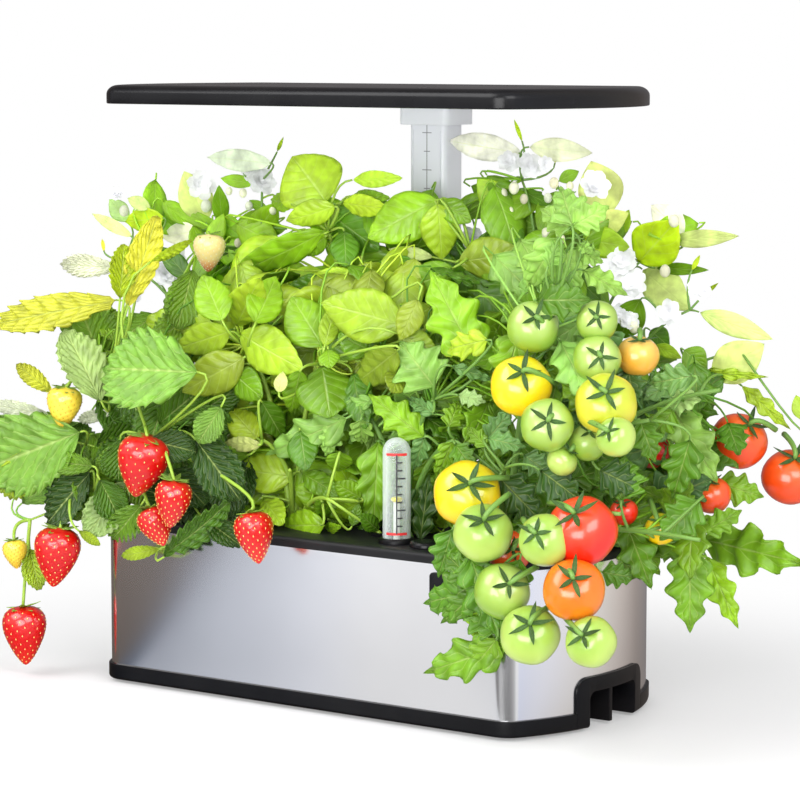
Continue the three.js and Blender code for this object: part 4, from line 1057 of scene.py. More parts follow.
FOOT_COUNT = 4


def make_feet():
    for number in range(1, FOOT_COUNT + 1):
        node = f"foot_{number}"
        low, high = box_mm(node)
        profile = rounded_bar_profile((high.y - low.y) / 2, low.z, high.z, ROUND_EDGE)
        turned_piece(f"rubber_{node}", node, profile, "base", foot_rubber)


def paint_hidden_nodes():
    """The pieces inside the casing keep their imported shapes, with their own finishes."""
    finishes = {
        "water_tank": matte_black, "led_board": board_metal, "driver_board": circuit_green,
        "control_board": circuit_green, "pump_body": matte_black, "pump_impeller": white_plastic,
        "pump_cover": trim_black, "pump_outlet": clear_plastic,
    }
    for node, material in finishes.items():
        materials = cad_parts[node].data.materials
        materials.clear()
        materials.append(material)


PIECES = (
    make_plinth, make_handles, make_steel, make_deck, make_lamp, make_lens, make_pods,
    make_sponges, make_gauge, make_collar, make_float, make_cap, make_post,
    make_pole_marks, make_bracket, make_panel, make_jack, make_feet, paint_hidden_nodes,
)
for make in PIECES:
    make()


# Plants

# Leaf colours, as seen in soft daylight, where COLOUR_FULL is the most
COLOUR_FULL = 255
LEAF_COLOURS = {
    "lime": (182, 214, 50), "bright": (150, 198, 34), "green": (124, 172, 30), "deep": (88, 138, 24),
    # "dark" is partly the leaves' own colour and partly painted shade deep inside the plants
    # "frost" is partly the leaves' own pale colour and partly painted light that shines through the top
    # leaves
    "dark": (50, 88, 18), "olive": (158, 184, 50), "pale": (218, 232, 142), "frost": (246, 252, 222),
    "yellow": (246, 250, 78), "lemon": (204, 230, 30), "mint": (152, 200, 86), "blue": (108, 154, 76),
    "slate": (76, 116, 54), "vivid": (138, 190, 70), "silver": (176, 210, 124), "white": (243, 243, 247),
    "bud": (248, 248, 222), "stem": (146, 180, 60), "vine": (106, 146, 62), "sepal": (74, 112, 52),
    "calyx": (160, 200, 70),
}


def light_of(colour):
    """A colour as the light that a material takes."""
    return tuple(Color([part / COLOUR_FULL for part in colour]).from_srgb_to_scene_linear())


def mixed(first, second, share):
    return tuple(low + (high - low) * share for low, high in zip(first, second))


def square_to(along, direction):
    """The part of a direction that is square to another, with a length of 1."""
    return (direction - along * direction.dot(along)).normalized()


# The shapes of leaves. A leaf is fullest at a share of its length, and its point is blunter the lower it
# is. Its veins sweep forward as they run to the edge, and its pleats lie between them. Cup, fold and droop
# are how far it is bent, as shares of its half width or its length.
PLAIN_EDGE = {"teeth": 0, "tooth_share": 0, "lobes": 0, "lobe_share": 0}
LEAF_KINDS = {
    "basil": PLAIN_EDGE | {
        "fullest": 0.42, "point": 0.8, "veins": 6, "sweep": 0.42, "pleat": 0.028, "cup": -0.2, "fold": 0.05,
        "droop": 0.2, "rows": 30, "columns": 6, "stalk": 1.0,
    },
    "strawberry": PLAIN_EDGE | {
        "fullest": 0.56, "point": 0.62, "teeth": 9, "tooth_share": 0.15, "veins": 8, "sweep": 0.8,
        "pleat": 0.075, "cup": 0.02, "fold": 0.2, "droop": 0.14, "rows": 54, "columns": 7, "stalk": 1.0,
    },
    "tomato": PLAIN_EDGE | {
        "fullest": 0.36, "point": 0.95, "lobes": 3.4, "lobe_share": 0.4, "veins": 5, "sweep": 0.5,
        "pleat": 0.07, "cup": -0.08, "fold": 0.1, "droop": 0.24, "rows": 32, "columns": 6, "stalk": 1.0,
    },
    "jasmine": PLAIN_EDGE | {
        "fullest": 0.45, "point": 0.9, "veins": 5, "sweep": 0.5, "pleat": 0.02, "cup": -0.05, "fold": 0.12,
        "droop": 0.16, "rows": 16, "columns": 4, "stalk": 0.8,
    },
    "petal": PLAIN_EDGE | {
        "fullest": 0.6, "point": 0.55, "veins": 1, "sweep": 0.2, "pleat": 0, "cup": 0.14, "fold": 0,
        "droop": -0.12, "rows": 7, "columns": 3,
    },
    "sepal": PLAIN_EDGE | {
        "fullest": 0.4, "point": 0.9, "veins": 1, "sweep": 0.2, "pleat": 0, "cup": 0, "fold": 0.2,
        "droop": -0.2, "rows": 7, "columns": 2,
    },
}
SHOULDER_POWER = 0.72
TOOTH_PEAK_SHARE = 0.75
LOBE_POWER = 1.2
PLEAT_POWER = 0.6
WAVE_SHARE = 0.05
WAVE_TURN = 7
LEAST_CURL = 0.6
MOST_CURL = 1.3
TWIST_SHARE = 0.25


def half_width(kind, share):
    """The half width of a leaf at a share of its length, with its teeth or lobes."""
    fullest = kind["fullest"]
    if share <= fullest:
        width = math.sin(share / fullest * math.pi / 2) ** SHOULDER_POWER
    else:
        rest = (share - fullest) / (1 - fullest)
        width = max(0, math.cos(rest * math.pi / 2)) ** kind["point"]
    if kind["teeth"]:
        rise = share * kind["teeth"] % 1
        fall = (1 - rise) * TOOTH_PEAK_SHARE / (1 - TOOTH_PEAK_SHARE)
        width *= 1 - kind["tooth_share"] * (1 - (rise if rise < TOOTH_PEAK_SHARE else fall))
    if kind["lobes"]:
        turn = 2 * math.pi * kind["lobes"] * share ** LOBE_POWER
        width *= 1 - kind["lobe_share"] * (1 + math.cos(turn)) / 2
    return width


def leaf_skin(kind, base, tip, width, normal, chance, detail=1):
    """A folded, veined leaf from its base to its tip, and the place of each point along and across it."""
    along = tip - base
    length = along.length
    along.normalize()
    side = along.cross(normal).normalized()
    face = side.cross(along)
    rows = round(kind["rows"] * detail)
    columns = round(kind["columns"] * detail)
    curl = chance.uniform(LEAST_CURL, MOST_CURL)
    twist = chance.uniform(-TWIST_SHARE, TWIST_SHARE)
    wave = chance.uniform(0, 2 * math.pi)
    points = []
    places = []
    for row in range(rows + 1):
        share = row / rows
        reach = width / 2 * half_width(kind, share)
        drop = kind["droop"] * curl * length * (share - 1 / 2) ** 2
        for column in range(-columns, columns + 1):
            across = column / columns
            vein = (share - kind["sweep"] * abs(across) * reach / length) * kind["veins"]
            lift = kind["fold"] * abs(across) * reach + kind["cup"] * across ** 2 * reach
            lift += kind["pleat"] * length * abs(across) ** PLEAT_POWER * math.cos(2 * math.pi * vein) / 2
            lift += WAVE_SHARE * reach * across ** 2 * math.sin(WAVE_TURN * share + wave)
            lift += twist * across * reach * share - drop
            points.append(base + along * (length * share) + side * (reach * across) + face * lift)
            places.append((share, (across + 1) / 2))
    faces = []
    wide = 2 * columns + 1
    for row in range(rows):
        for column in range(wide - 1):
            low = row * wide + column
            faces.append((low, low + 1, low + wide + 1, low + wide))
    return (points, faces), places


def around(side, other, turn):
    """The direction at a turn from one side towards another."""
    return side * math.cos(turn) + other * math.sin(turn)


def tube_skin(path, radii, sides=7):
    """A round stem along a path of points, with a radius at each."""
    turns = [2 * math.pi * step / sides for step in range(sides)]
    rings = []
    side = None
    for at, point in enumerate(path):
        ahead = (path[min(at + 1, len(path) - 1)] - path[max(at - 1, 0)]).normalized()
        side = square_to(ahead, side or ahead.orthogonal())
        other = ahead.cross(side)
        rings.append([point + around(side, other, turn) * radii[at] for turn in turns])
    return loft(rings)


def curve_path(start, bend, end, steps=8):
    path = []
    for step in range(steps + 1):
        share = step / steps
        path.append(start * (1 - share) ** 2 + bend * (2 * share * (1 - share)) + end * share ** 2)
    return path


def stem_skin(start, bend, end, first, last, steps=8, sides=7):
    """A round stem along a bend, whose radius runs from first to last."""
    radii = [first + (last - first) * at / steps for at in range(steps + 1)]
    return tube_skin(curve_path(start, bend, end, steps), radii, sides)


def towards_camera(point):
    return (CAMERA_PLACE - point).normalized()


class Foliage:
    """Gathers the skins of many leaves, stems or fruits, with the colours of their points, into one mesh."""

    def __init__(self):
        self.points = []
        self.faces = []
        self.colours = []
        self.places = []

    def add(self, skin, colours, places=None):
        """Adds a skin. Its colours are one for all its points, or a list with one for each."""
        points, faces = skin
        shift = len(self.points)
        self.points += points
        self.faces += [tuple(at + shift for at in face) for face in faces]
        self.colours += colours if isinstance(colours, list) else [colours] * len(points)
        self.places += places or [(0, 0)] * len(points)

    def object(self, name, thickness=0):
        mesh = bpy.data.meshes.new(name)
        mesh.from_pydata([point * MM for point in self.points], [], self.faces)
        colours = mesh.color_attributes.new("leaf_colour", "FLOAT_COLOR", "POINT")
        for at, colour in enumerate(self.colours):
            colours.data[at].color = (*colour, 1)
        layout = mesh.uv_layers.new(name="leaf_places")
        for loop in mesh.loops:
            layout.data[loop.index].uv = self.places[loop.vertex_index]
        mesh.polygons.foreach_set("use_smooth", [True] * len(mesh.polygons))
        thing = add_object(name, mesh)
        if thickness:
            step = thing.modifiers.new("thickness", "SOLIDIFY")
            step.thickness = thickness * MM
            step.offset = 0
            settle(thing)
        return thing


# Every leaf that the photo shows is a row: the pixel of its base, the pixel of its tip, its width in
# pixels, how far it turns about its midrib in degrees, and its colour. A pixel is this long there.
PIXEL_SIZE = 0.68

BASIL_BACK = (
    (326, 202, 292, 156, 70, 8, "lime"), (334, 207, 285, 222, 28, -15, "lime"),
    (291, 204, 269, 199, 20, 0, "bright"), (341, 203, 388, 209, 23, 10, "lime"),
    (350, 196, 388, 198, 15, 0, "green"), (352, 180, 401, 178, 17, 0, "lime"),
    (326, 211, 379, 250, 42, 14, "deep"), (344, 231, 346, 266, 30, 0, "deep"),
    (324, 234, 229, 277, 34, -20, "bright"), (325, 237, 302, 256, 20, 0, "green"),
    (437, 200, 367, 238, 50, 12, "bright"), (438, 204, 442, 260, 38, 0, "lime"),
    (440, 201, 471, 222, 24, 0, "green"), (432, 257, 388, 249, 13, 0, "pale"),
    (411, 262, 367, 275, 24, 0, "deep"), (400, 278, 368, 291, 21, 0, "deep"),
    (453, 268, 401, 293, 32, 0, "green"), (456, 266, 512, 325, 52, 10, "deep"),
    (458, 262, 522, 252, 40, 0, "olive"), (352, 272, 316, 273, 11, 0, "lime"),
    (328, 280, 281, 293, 22, 0, "deep"), (362, 292, 315, 292, 22, -20, "pale"),
)
BASIL_FRONT = (
    (403, 325, 320, 302, 52, 8, "lime"), (213, 332, 137, 322, 46, 6, "lime"),
    (235, 328, 258, 281, 40, 0, "lime"), (256, 322, 277, 275, 36, 10, "bright"),
    (322, 346, 291, 296, 48, 6, "bright"), (325, 345, 335, 304, 20, 0, "lime"),
    (238, 333, 301, 369, 46, 8, "lime"), (228, 332, 175, 349, 34, 0, "lime"),
    (222, 320, 202, 274, 38, 0, "bright"), (243, 358, 181, 393, 42, 0, "olive"),
    (279, 392, 283, 371, 13, 0, "pale"), (322, 366, 330, 417, 58, 0, "green"),
    (328, 349, 330, 367, 21, 0, "bright"), (396, 352, 355, 384, 36, 0, "olive"),
    (402, 370, 392, 392, 26, 0, "olive"), (257, 438, 229, 407, 32, 10, "lime"),
    (258, 445, 221, 443, 15, 0, "pale"), (247, 455, 184, 457, 20, 0, "green"),
    (292, 476, 232, 469, 40, 6, "lime"), (300, 472, 339, 495, 24, 0, "green"),
    (340, 454, 338, 473, 26, 0, "green"), (361, 498, 335, 483, 22, 0, "green"),
    (262, 498, 281, 523, 28, 0, "lime"), (321, 525, 274, 526, 32, 6, "bright"),
    (330, 520, 318, 503, 15, 0, "green"), (358, 503, 334, 517, 24, 0, "bright"),
    (352, 526, 359, 504, 13, 0, "green"), (379, 531, 361, 515, 17, 0, "deep"),
    (322, 530, 338, 527, 12, 0, "bright"), (325, 348, 382, 340, 30, 0, "green"),
    (398, 334, 437, 352, 26, 0, "olive"), (372, 352, 338, 334, 30, 0, "green"),
    (418, 300, 400, 340, 26, 0, "olive"), (232, 372, 262, 398, 34, 20, "green"),
    (300, 372, 290, 414, 26, 0, "green"), (352, 372, 364, 428, 30, 20, "deep"),
    (300, 430, 306, 470, 30, 0, "deep"), (262, 402, 284, 440, 26, 0, "deep"),
)
STRAWBERRY_BACK = (
    (101, 361, 78, 302, 64, 0, "green"), (116, 268, 60, 264, 26, 0, "frost"),
    (48, 415, -10, 404, 19, 0, "frost"), (52, 392, 16, 364, 21, 0, "yellow"),
    (112, 412, 77, 420, 15, 0, "frost"), (130, 412, 111, 397, 18, 0, "green"),
    (158, 262, 191, 241, 9, 0, "lemon"), (130, 440, 100, 452, 26, 0, "dark"),
    (150, 402, 128, 432, 30, 0, "deep"),
)
STRAWBERRY_YOUNG = (
    (116, 300, -8, 324, 40, 12, "yellow"), (128, 306, 157, 216, 36, 0, "yellow"),
    (120, 298, 124, 244, 34, 20, "lemon"), (150, 262, 192, 240, 9, 0, "lemon"),
)
STRAWBERRY_FRONT = (
    (101, 401, 65, 329, 52, 18, "silver"), (197, 372, 102, 368, 88, 8, "vivid"),
    (80, 432, -18, 470, 92, 0, "vivid"), (90, 472, 47, 523, 50, 24, "dark"),
    (128, 482, 86, 536, 44, 0, "silver"), (92, 466, 54, 462, 26, 0, "green"),
    (221, 407, 198, 443, 32, 0, "vivid"), (30, 549, 39, 589, 29, 0, "lime"),
    (79, 531, 100, 545, 11, 0, "lime"), (159, 549, 121, 556, 15, 0, "lime"),
    (141, 505, 112, 540, 36, 0, "green"), (164, 557, 229, 504, 34, 30, "deep"),
    (172, 470, 205, 505, 44, 0, "dark"), (196, 440, 240, 500, 50, 0, "dark"),
    (150, 440, 196, 452, 36, 0, "dark"), (120, 440, 118, 482, 40, 0, "deep"),
    (100, 480, 120, 520, 38, 0, "deep"), (20, 452, 10, 500, 40, 0, "lime"),
    (206, 520, 240, 545, 26, 0, "dark"), (60, 470, 30, 484, 24, 0, "bright"),
)
JASMINE_LEFT = (
    (270, 163, 205, 157, 23, 0, "frost"), (243, 173, 242, 154, 5, 0, "yellow"),
    (277, 152, 283, 138, 4, 0, "lemon"), (253, 184, 220, 178, 14, 0, "bright"),
    (206, 222, 184, 171, 36, 0, "pale"), (222, 224, 219, 186, 18, 0, "green"),
    (227, 232, 168, 207, 15, 0, "bright"), (200, 230, 161, 238, 24, 0, "frost"),
    (285, 229, 228, 228, 23, 0, "green"), (268, 212, 249, 200, 11, 0, "green"),
    (163, 218, 124, 222, 26, 0, "lemon"), (131, 236, 91, 213, 13, 0, "pale"),
    (128, 221, 109, 199, 21, 0, "silver"), (150, 208, 127, 198, 15, 0, "pale"),
    (104, 251, 102, 238, 4, 0, "yellow"), (229, 262, 200, 236, 22, 0, "green"),
    (196, 262, 240, 248, 20, 0, "deep"), (190, 280, 160, 246, 22, 0, "deep"),
    (294, 272, 266, 266, 13, 0, "pale"), (226, 282, 183, 278, 22, 0, "bright"),
)
JASMINE_RIGHT = (
    (519, 153, 445, 140, 27, 0, "frost"), (529, 147, 592, 153, 23, 0, "frost"),
    (555, 163, 557, 145, 6, 0, "yellow"), (522, 141, 514, 119, 4, 0, "lemon"),
    (559, 181, 579, 171, 13, 0, "bright"), (609, 214, 591, 161, 44, 0, "pale"),
    (513, 216, 477, 179, 32, 0, "lime"), (544, 231, 513, 213, 22, 0, "green"),
    (520, 190, 551, 205, 13, 0, "deep"), (638, 263, 676, 221, 48, 0, "lemon"),
    (684, 233, 651, 205, 28, 0, "frost"), (667, 241, 738, 236, 17, 0, "pale"),
    (617, 237, 629, 210, 15, 0, "lime"), (584, 239, 629, 247, 30, 0, "lime"),
    (642, 269, 688, 309, 38, 0, "pale"), (655, 268, 707, 270, 12, 0, "green"),
    (692, 270, 700, 255, 5, 0, "lemon"), (707, 292, 717, 284, 4, 0, "lemon"),
    (699, 312, 772, 339, 22, 0, "pale"), (492, 220, 533, 249, 28, 0, "deep"),
    (650, 330, 669, 346, 22, 0, "deep"), (655, 345, 681, 358, 13, 0, "lime"),
    (712, 378, 764, 344, 40, 0, "pale"), (684, 350, 706, 369, 26, 0, "green"),
    (803, 420, 796, 395, 15, 0, "lime"), (560, 262, 600, 300, 34, 0, "deep"),
    (500, 300, 478, 268, 26, 0, "green"), (640, 300, 618, 340, 30, 0, "green"),
    (590, 232, 628, 213, 25, 0, "pale"),
)
TOMATO_MIDDLE = (
    (476, 360, 430, 270, 60, 0, "bright"), (434, 387, 400, 341, 62, 0, "mint"),
    (424, 437, 368, 394, 38, 0, "bright"), (432, 412, 405, 397, 18, 0, "blue"),
    (449, 427, 459, 400, 24, 0, "green"), (345, 419, 263, 456, 44, 0, "mint"),
    (336, 424, 325, 457, 26, 0, "mint"), (361, 421, 362, 446, 26, 0, "mint"),
    (372, 400, 335, 409, 18, 0, "mint"), (378, 442, 373, 535, 46, 0, "green"),
    (452, 442, 436, 479, 24, 0, "green"), (424, 438, 413, 471, 22, 0, "blue"),
    (458, 395, 485, 402, 20, 0, "silver"), (452, 366, 495, 381, 14, 0, "blue"),
    (420, 541, 429, 474, 28, 0, "dark"), (486, 340, 436, 352, 30, 0, "lime"),
    (408, 520, 396, 470, 30, 0, "dark"),
)
TOMATO_RIGHT = (
    (486, 446, 466, 426, 18, 0, "green"), (487, 440, 511, 411, 28, 0, "blue"),
    (487, 438, 525, 447, 24, 0, "blue"), (455, 444, 473, 469, 28, 0, "deep"),
    (524, 455, 550, 474, 28, 0, "blue"), (455, 548, 437, 515, 18, 0, "lime"),
    (572, 230, 540, 208, 30, 0, "mint"), (572, 226, 609, 206, 34, 0, "mint"),
    (572, 224, 560, 184, 42, 0, "mint"), (557, 240, 524, 291, 38, 0, "mint"),
    (575, 248, 602, 262, 26, 0, "mint"), (548, 266, 561, 237, 24, 0, "mint"),
    (583, 270, 627, 295, 26, 0, "mint"), (577, 243, 594, 253, 13, 0, "mint"),
    (628, 366, 634, 404, 34, 0, "slate"), (692, 376, 647, 384, 32, 0, "blue"),
    (672, 408, 717, 482, 48, 0, "mint"), (673, 410, 651, 438, 30, 0, "green"),
    (698, 372, 767, 377, 13, 0, "lime"), (742, 386, 790, 429, 19, 0, "lime"),
    (716, 483, 764, 497, 36, 0, "green"), (621, 500, 625, 455, 50, 0, "deep"),
    (652, 503, 714, 478, 62, 0, "slate"), (624, 518, 651, 588, 42, 0, "deep"),
    (698, 538, 801, 563, 56, 0, "green"), (690, 548, 690, 633, 50, 0, "green"),
    (706, 556, 738, 628, 32, 0, "bright"), (704, 532, 742, 510, 30, 0, "green"),
    (602, 572, 636, 578, 28, 0, "deep"), (640, 420, 655, 462, 34, 0, "deep"),
    (690, 440, 672, 500, 40, 0, "deep"), (660, 400, 700, 400, 34, 0, "silver"),
    (602, 410, 560, 380, 40, 0, "green"), (540, 470, 580, 500, 44, 0, "dark"),
    (600, 470, 640, 490, 40, 0, "dark"), (500, 478, 540, 520, 44, 0, "dark"),
    (700, 500, 660, 540, 44, 0, "deep"), (536, 300, 590, 300, 44, 0, "deep"),
    (520, 330, 500, 400, 44, 0, "green"), (560, 340, 590, 400, 44, 0, "mint"),
)
# The hanging leaves take darker colours, partly their own and partly painted shade
TOMATO_HANGING = (
    (478, 590, 421, 604, 50, 0, "deep"), (478, 586, 444, 552, 38, 0, "deep"),
    (478, 592, 440, 624, 34, 0, "deep"), (504, 646, 421, 674, 46, 0, "green"),
    (500, 630, 462, 604, 42, 0, "deep"), (496, 640, 470, 672, 34, 0, "green"),
    (462, 536, 484, 590, 46, 0, "deep"), (470, 556, 500, 640, 46, 0, "deep"),
    (452, 530, 438, 578, 34, 0, "deep"), (520, 560, 500, 620, 40, 0, "deep"),
    (488, 600, 478, 646, 36, 0, "bright"),
)
BASIL_RIGHT_START = 390
BASIL_RIGHT = tuple(row for row in BASIL_BACK if row[0] >= BASIL_RIGHT_START)
BASIL_MIDDLE = tuple(row for row in BASIL_BACK if row[0] < BASIL_RIGHT_START)

# The plant, the Y of the plane that its leaves lie about, their depth either way, and their rows
LEAF_SETS = (
    ("basil_plant_back", 10, 14, BASIL_MIDDLE), ("basil_plant_right", 10, 14, BASIL_RIGHT),
    ("basil_plant_left", -52, 18, BASIL_FRONT), ("strawberry_plant", -50, 10, STRAWBERRY_BACK),
    ("strawberry_plant", -80, 6, STRAWBERRY_YOUNG), ("strawberry_plant", -92, 12, STRAWBERRY_FRONT),
    ("jasmine_plant_left", 40, 14, JASMINE_LEFT), ("jasmine_plant_right", 52, 14, JASMINE_RIGHT),
    ("tomato_plant_middle", -46, 10, TOMATO_MIDDLE), ("tomato_plant_right", -64, 14, TOMATO_RIGHT),
    ("tomato_plant_right", -101, 5, TOMATO_HANGING),
)

# The plants in the order of their pods, and where their shoots end: each a pixel and the Y of its plane
SHOOT_ENDS = {
    "strawberry_plant": ((100, 400, -60), (60, 440, -80), (150, 440, -84), (70, 500, -92), (30, 520, -92)),
    "basil_plant_left": ((244, 345, -40), (322, 360, -40), (290, 470, -60), (262, 440, -56), (330, 500, -70)),
    "tomato_plant_middle": ((434, 400, -44), (361, 410, -44), (455, 440, -46), (400, 500, -40)),
    "tomato_plant_right": ((556, 300, -60), (505, 468, -70), (620, 514, -80), (650, 420, -40),
                           (700, 540, -50), (480, 600, -100), (720, 390, 0)),
    "jasmine_plant_left": ((215, 230, 40), (262, 180, 40), (150, 250, 30), (120, 260, 20)),
    "basil_plant_back": ((328, 232, 10), (362, 256, 10), (438, 206, 10), (400, 290, 0)),
    "basil_plant_right": ((470, 250, 20), (430, 300, 10), (500, 300, 20)),
    "jasmine_plant_right": ((560, 190, 50), (640, 262, 52), (690, 310, 50), (740, 350, 60), (522, 180, 50)),
}
PLANTS = tuple(SHOOT_ENDS)
SHOOT_RADII = {"strawberry": 1.2, "basil": 1.9, "tomato": 2.1, "jasmine": 1.3}
SHOOT_COLOURS = {"strawberry": "stem", "basil": "stem", "tomato": "vine", "jasmine": "vine"}
SHOOT_SPREAD = 4
SHOOT_LEAST_RISE = 30
SHOOT_BEND_SHARE = 0.35
SHOOT_BEND_RISE_SHARE = 0.85
SHOOT_STEPS = 14
SHOOT_BARE_STEPS = 4
SHOOT_FOOT_SHARE = 1.25
SHOOT_TIP_SHARE = 0.6

# Painted light and shade: how much lighter or darker the leaves of each plant are painted than their named
# colours, lighter for plants in the shade under the lamp and darker for those that reach out into the light
PLANT_PAINTED_LIGHTS = {
    "strawberry_plant": 0.82, "basil_plant_left": 0.88, "tomato_plant_middle": 0.98,
    "tomato_plant_right": 0.98, "jasmine_plant_left": 1.12, "basil_plant_back": 1.16,
    "basil_plant_right": 1.16, "jasmine_plant_right": 1.02,
}
LIGHT_CHANGE = 0.14
WARMTH_CHANGE = 0.06

# Left of this pixel column, what the photo shows stands on its plane. Right of it, it stands further
# back, so that it keeps its reach.
RECESS_START = 600
RECESS_SHARE = 0.65

# How far the cap of the filler hole lifts, and the room that leaves keep from it
CAP_LIFT = 12
CAP_ROOM = 4

STALK_BEND_SHARE = 0.4
STALK_FOOT_SHARE = 1.1
STALK_TIP_SHARE = 0.7
STALK_SIDES = 6
FILL_STALK_SIDES = 5
FILL_STALK_TIP = 0.6
FILL_DETAIL = 0.5

# Where the photo shows white between the leaves: the middle and the half size in pixels
CLEAR_PLACES = (
    (310, 248, 15, 24), (380, 249, 12, 4), (112, 232, 18, 14), (84, 262, 26, 12), (150, 250, 10, 8),
    (66, 345, 16, 20), (30, 350, 34, 20), (240, 206, 10, 8), (655, 345, 12, 8), (690, 260, 20, 14),
    (720, 262, 30, 20), (740, 300, 34, 22), (640, 190, 20, 16), (480, 232, 12, 10), (670, 340, 8, 6),
)
CLEAR_MARGIN = 8
LEAF_SAMPLES = 5

# Leaves behind those that the photo shows one by one: their count, their length and their colour
EXTRA_LEAVES = {
    "strawberry_plant": (20, 46, "deep"), "basil_plant_left": (26, 44, "green"),
    "tomato_plant_middle": (18, 44, "deep"), "tomato_plant_right": (26, 46, "green"),
    "jasmine_plant_left": (30, 48, "green"), "basil_plant_back": (30, 46, "bright"),
    "basil_plant_right": (30, 46, "green"), "jasmine_plant_right": (34, 50, "green"),
}
EXTRA_LOW = 125
EXTRA_HIGH = 290
EXTRA_REACH_X = 40
EXTRA_REACH_Y = 34
EXTRA_RISES = (-1.1, 0.2)
EXTRA_SIZE_SHARES = (0.7, 1.1)
EXTRA_WIDTH_SHARE = 0.66
EXTRA_TURN = 0.5
EXTRA_STALK_FOOT = 0.9

# Where the photo shows leaves too close together to tell apart: the middle and the half size of each patch
# in pixels, the Y of its plane, its count of leaves and their colour
LEAF_PATCHES = {
    "basil_plant_back": (
        (320, 246, 72, 46, 34, 24, "bright"), (300, 290, 66, 40, 26, 26, "lime"),
        (395, 262, 56, 50, 34, 24, "green"),
    ),
    "basil_plant_left": (
        (250, 330, 66, 50, -14, 28, "lime"), (340, 336, 60, 50, -18, 28, "olive"),
        (300, 425, 80, 60, -14, 40, "green"), (300, 500, 74, 34, -30, 28, "bright"),
        (385, 330, 50, 60, -10, 22, "lime"), (230, 400, 40, 50, -20, 18, "olive"),
    ),
    "basil_plant_right": (
        (450, 262, 60, 60, 34, 28, "deep"), (500, 280, 46, 60, 36, 20, "green"),
    ),
    "strawberry_plant": (
        (150, 320, 44, 40, -34, 16, "green"), (105, 345, 40, 44, -40, 14, "bright"),
        (172, 430, 60, 56, -52, 30, "deep"), (205, 500, 40, 40, -60, 18, "dark"),
        (120, 490, 44, 40, -70, 14, "green"), (46, 456, 40, 34, -64, 10, "vivid"),
    ),
    "jasmine_plant_left": (
        (200, 236, 80, 40, 50, 40, "bright"), (132, 250, 40, 34, 40, 18, "lemon"),
        (180, 290, 56, 36, 44, 24, "green"),
    ),
    "jasmine_plant_right": (
        (545, 205, 70, 40, 56, 32, "green"), (650, 262, 56, 44, 56, 30, "bright"),
        (600, 270, 50, 50, 54, 24, "green"),
    ),
    "tomato_plant_middle": (
        (400, 396, 62, 50, -14, 18, "mint"), (420, 470, 50, 60, -14, 20, "green"),
        (450, 372, 44, 50, -4, 14, "green"),
    ),
    "tomato_plant_right": (
        (560, 290, 50, 44, -14, 16, "mint"), (530, 370, 50, 56, -14, 20, "green"),
        (620, 396, 60, 60, 6, 24, "blue"), (680, 440, 54, 60, 34, 24, "deep"),
        (570, 490, 60, 50, -20, 22, "deep"), (650, 525, 50, 40, 4, 16, "green"),
        (470, 465, 36, 50, -24, 12, "green"),
    ),
}
PATCH_LENGTHS = {"basil": 44, "strawberry": 42, "tomato": 40, "jasmine": 36}
PATCH_WIDTH_SHARES = {"basil": 0.66, "strawberry": 0.74, "tomato": 0.72, "jasmine": 0.5}
PATCH_DEPTH = 12
PATCH_LEAN = 1.2
PATCH_HANG_SHARES = (1, 1, 0.4, -0.6)
PATCH_FACING_SHARE = 0.6
PATCH_SIZE_SHARES = (0.75, 1.15)
PATCH_TURN = 0.6
PATCH_STALK_FOOT = 0.8

# Fruit and flowers. Each tomato: its middle, its radius, the middle of its sepals and the end of its stalk,
# in pixels, the Y of its plane, and its colour
TOMATOES = (
    (521, 386, 28, 523, 370, 556, 384, -78, "yellow"), (547, 425, 24, 548, 420, 560, 408, -92, "green"),
    (562, 461, 14, 571, 450, 577, 442, -84, "pale"), (467, 494, 31, 470, 482, 508, 478, -84, "yellow"),
    (483, 533, 27, 484, 518, 509, 494, -106, "pale"), (545, 540, 24, 534, 532, 523, 519, -106, "pale"),
    (582, 531, 32, 573, 511, 549, 503, -88, "red"), (509, 552, 20, 513, 549, 520, 530, -78, "orange"),
    (502, 591, 25.5, 510, 583, 537, 567, -106, "green"), (574, 590, 28, 573, 577, 561, 563, -106, "amber"),
    (530, 635, 27, 530, 622, 547, 608, -112, "pale"), (591, 642, 23, 581, 634, 564, 616, -112, "pale"),
    (533, 327, 24, 536, 316, 556, 344, -66, "green"), (597, 321, 19, 597, 316, 586, 333, -54, "green"),
    (597, 359, 22, 601, 356, 578, 338, -60, "green"), (638, 356, 19.5, 640, 338, 640, 330, -30, "apricot"),
    (606, 404, 28, 606, 391, 571, 389, -72, "turning"), (616, 437, 18, 607, 430, 580, 417, -86, "pale"),
    (588, 443, 17, 590, 430, 580, 420, -70, "green"), (739, 441, 27, 751, 422, 776, 430, 60, "orange"),
    (790, 477, 27, 796, 455, 784, 434, 84, "orange"), (651, 448, 20, 650, 430, 640, 420, 20, "red"),
    (712, 495, 18, 710, 480, 700, 470, 30, "orange"), (661, 529, 15, 657, 518, 650, 500, -20, "yellow"),
    (624, 512, 13, 622, 502, 600, 480, -30, "red"),
)
TOMATO_COLOURS = {
    "yellow": ((244, 200, 8), (176, 196, 40)), "green": ((132, 166, 54), (176, 200, 110)),
    "pale": ((170, 194, 92), (116, 160, 40)), "red": ((222, 26, 8), (240, 80, 40)),
    "orange": ((220, 66, 14), (226, 100, 30)), "amber": ((230, 118, 8), (220, 88, 12)),
    "apricot": ((226, 164, 56), (240, 204, 110)), "turning": ((206, 196, 50), (146, 184, 44)),
}
TOMATO_COLUMNS = 32
TOMATO_ROWS = 20
TOMATO_LOBES = (4, 5, 5, 6)
TOMATO_LOBE_SHARE = 0.018
TOMATO_HEIGHT_SHARE = 0.93
TOMATO_DIP_SHARE = 0.12
TOMATO_DIP_ANGLE = 0.42
TOMATO_EYE_SHARE = 0.42
TOMATO_HUB_SHARE = 0.83
TOMATO_SEPALS = 5
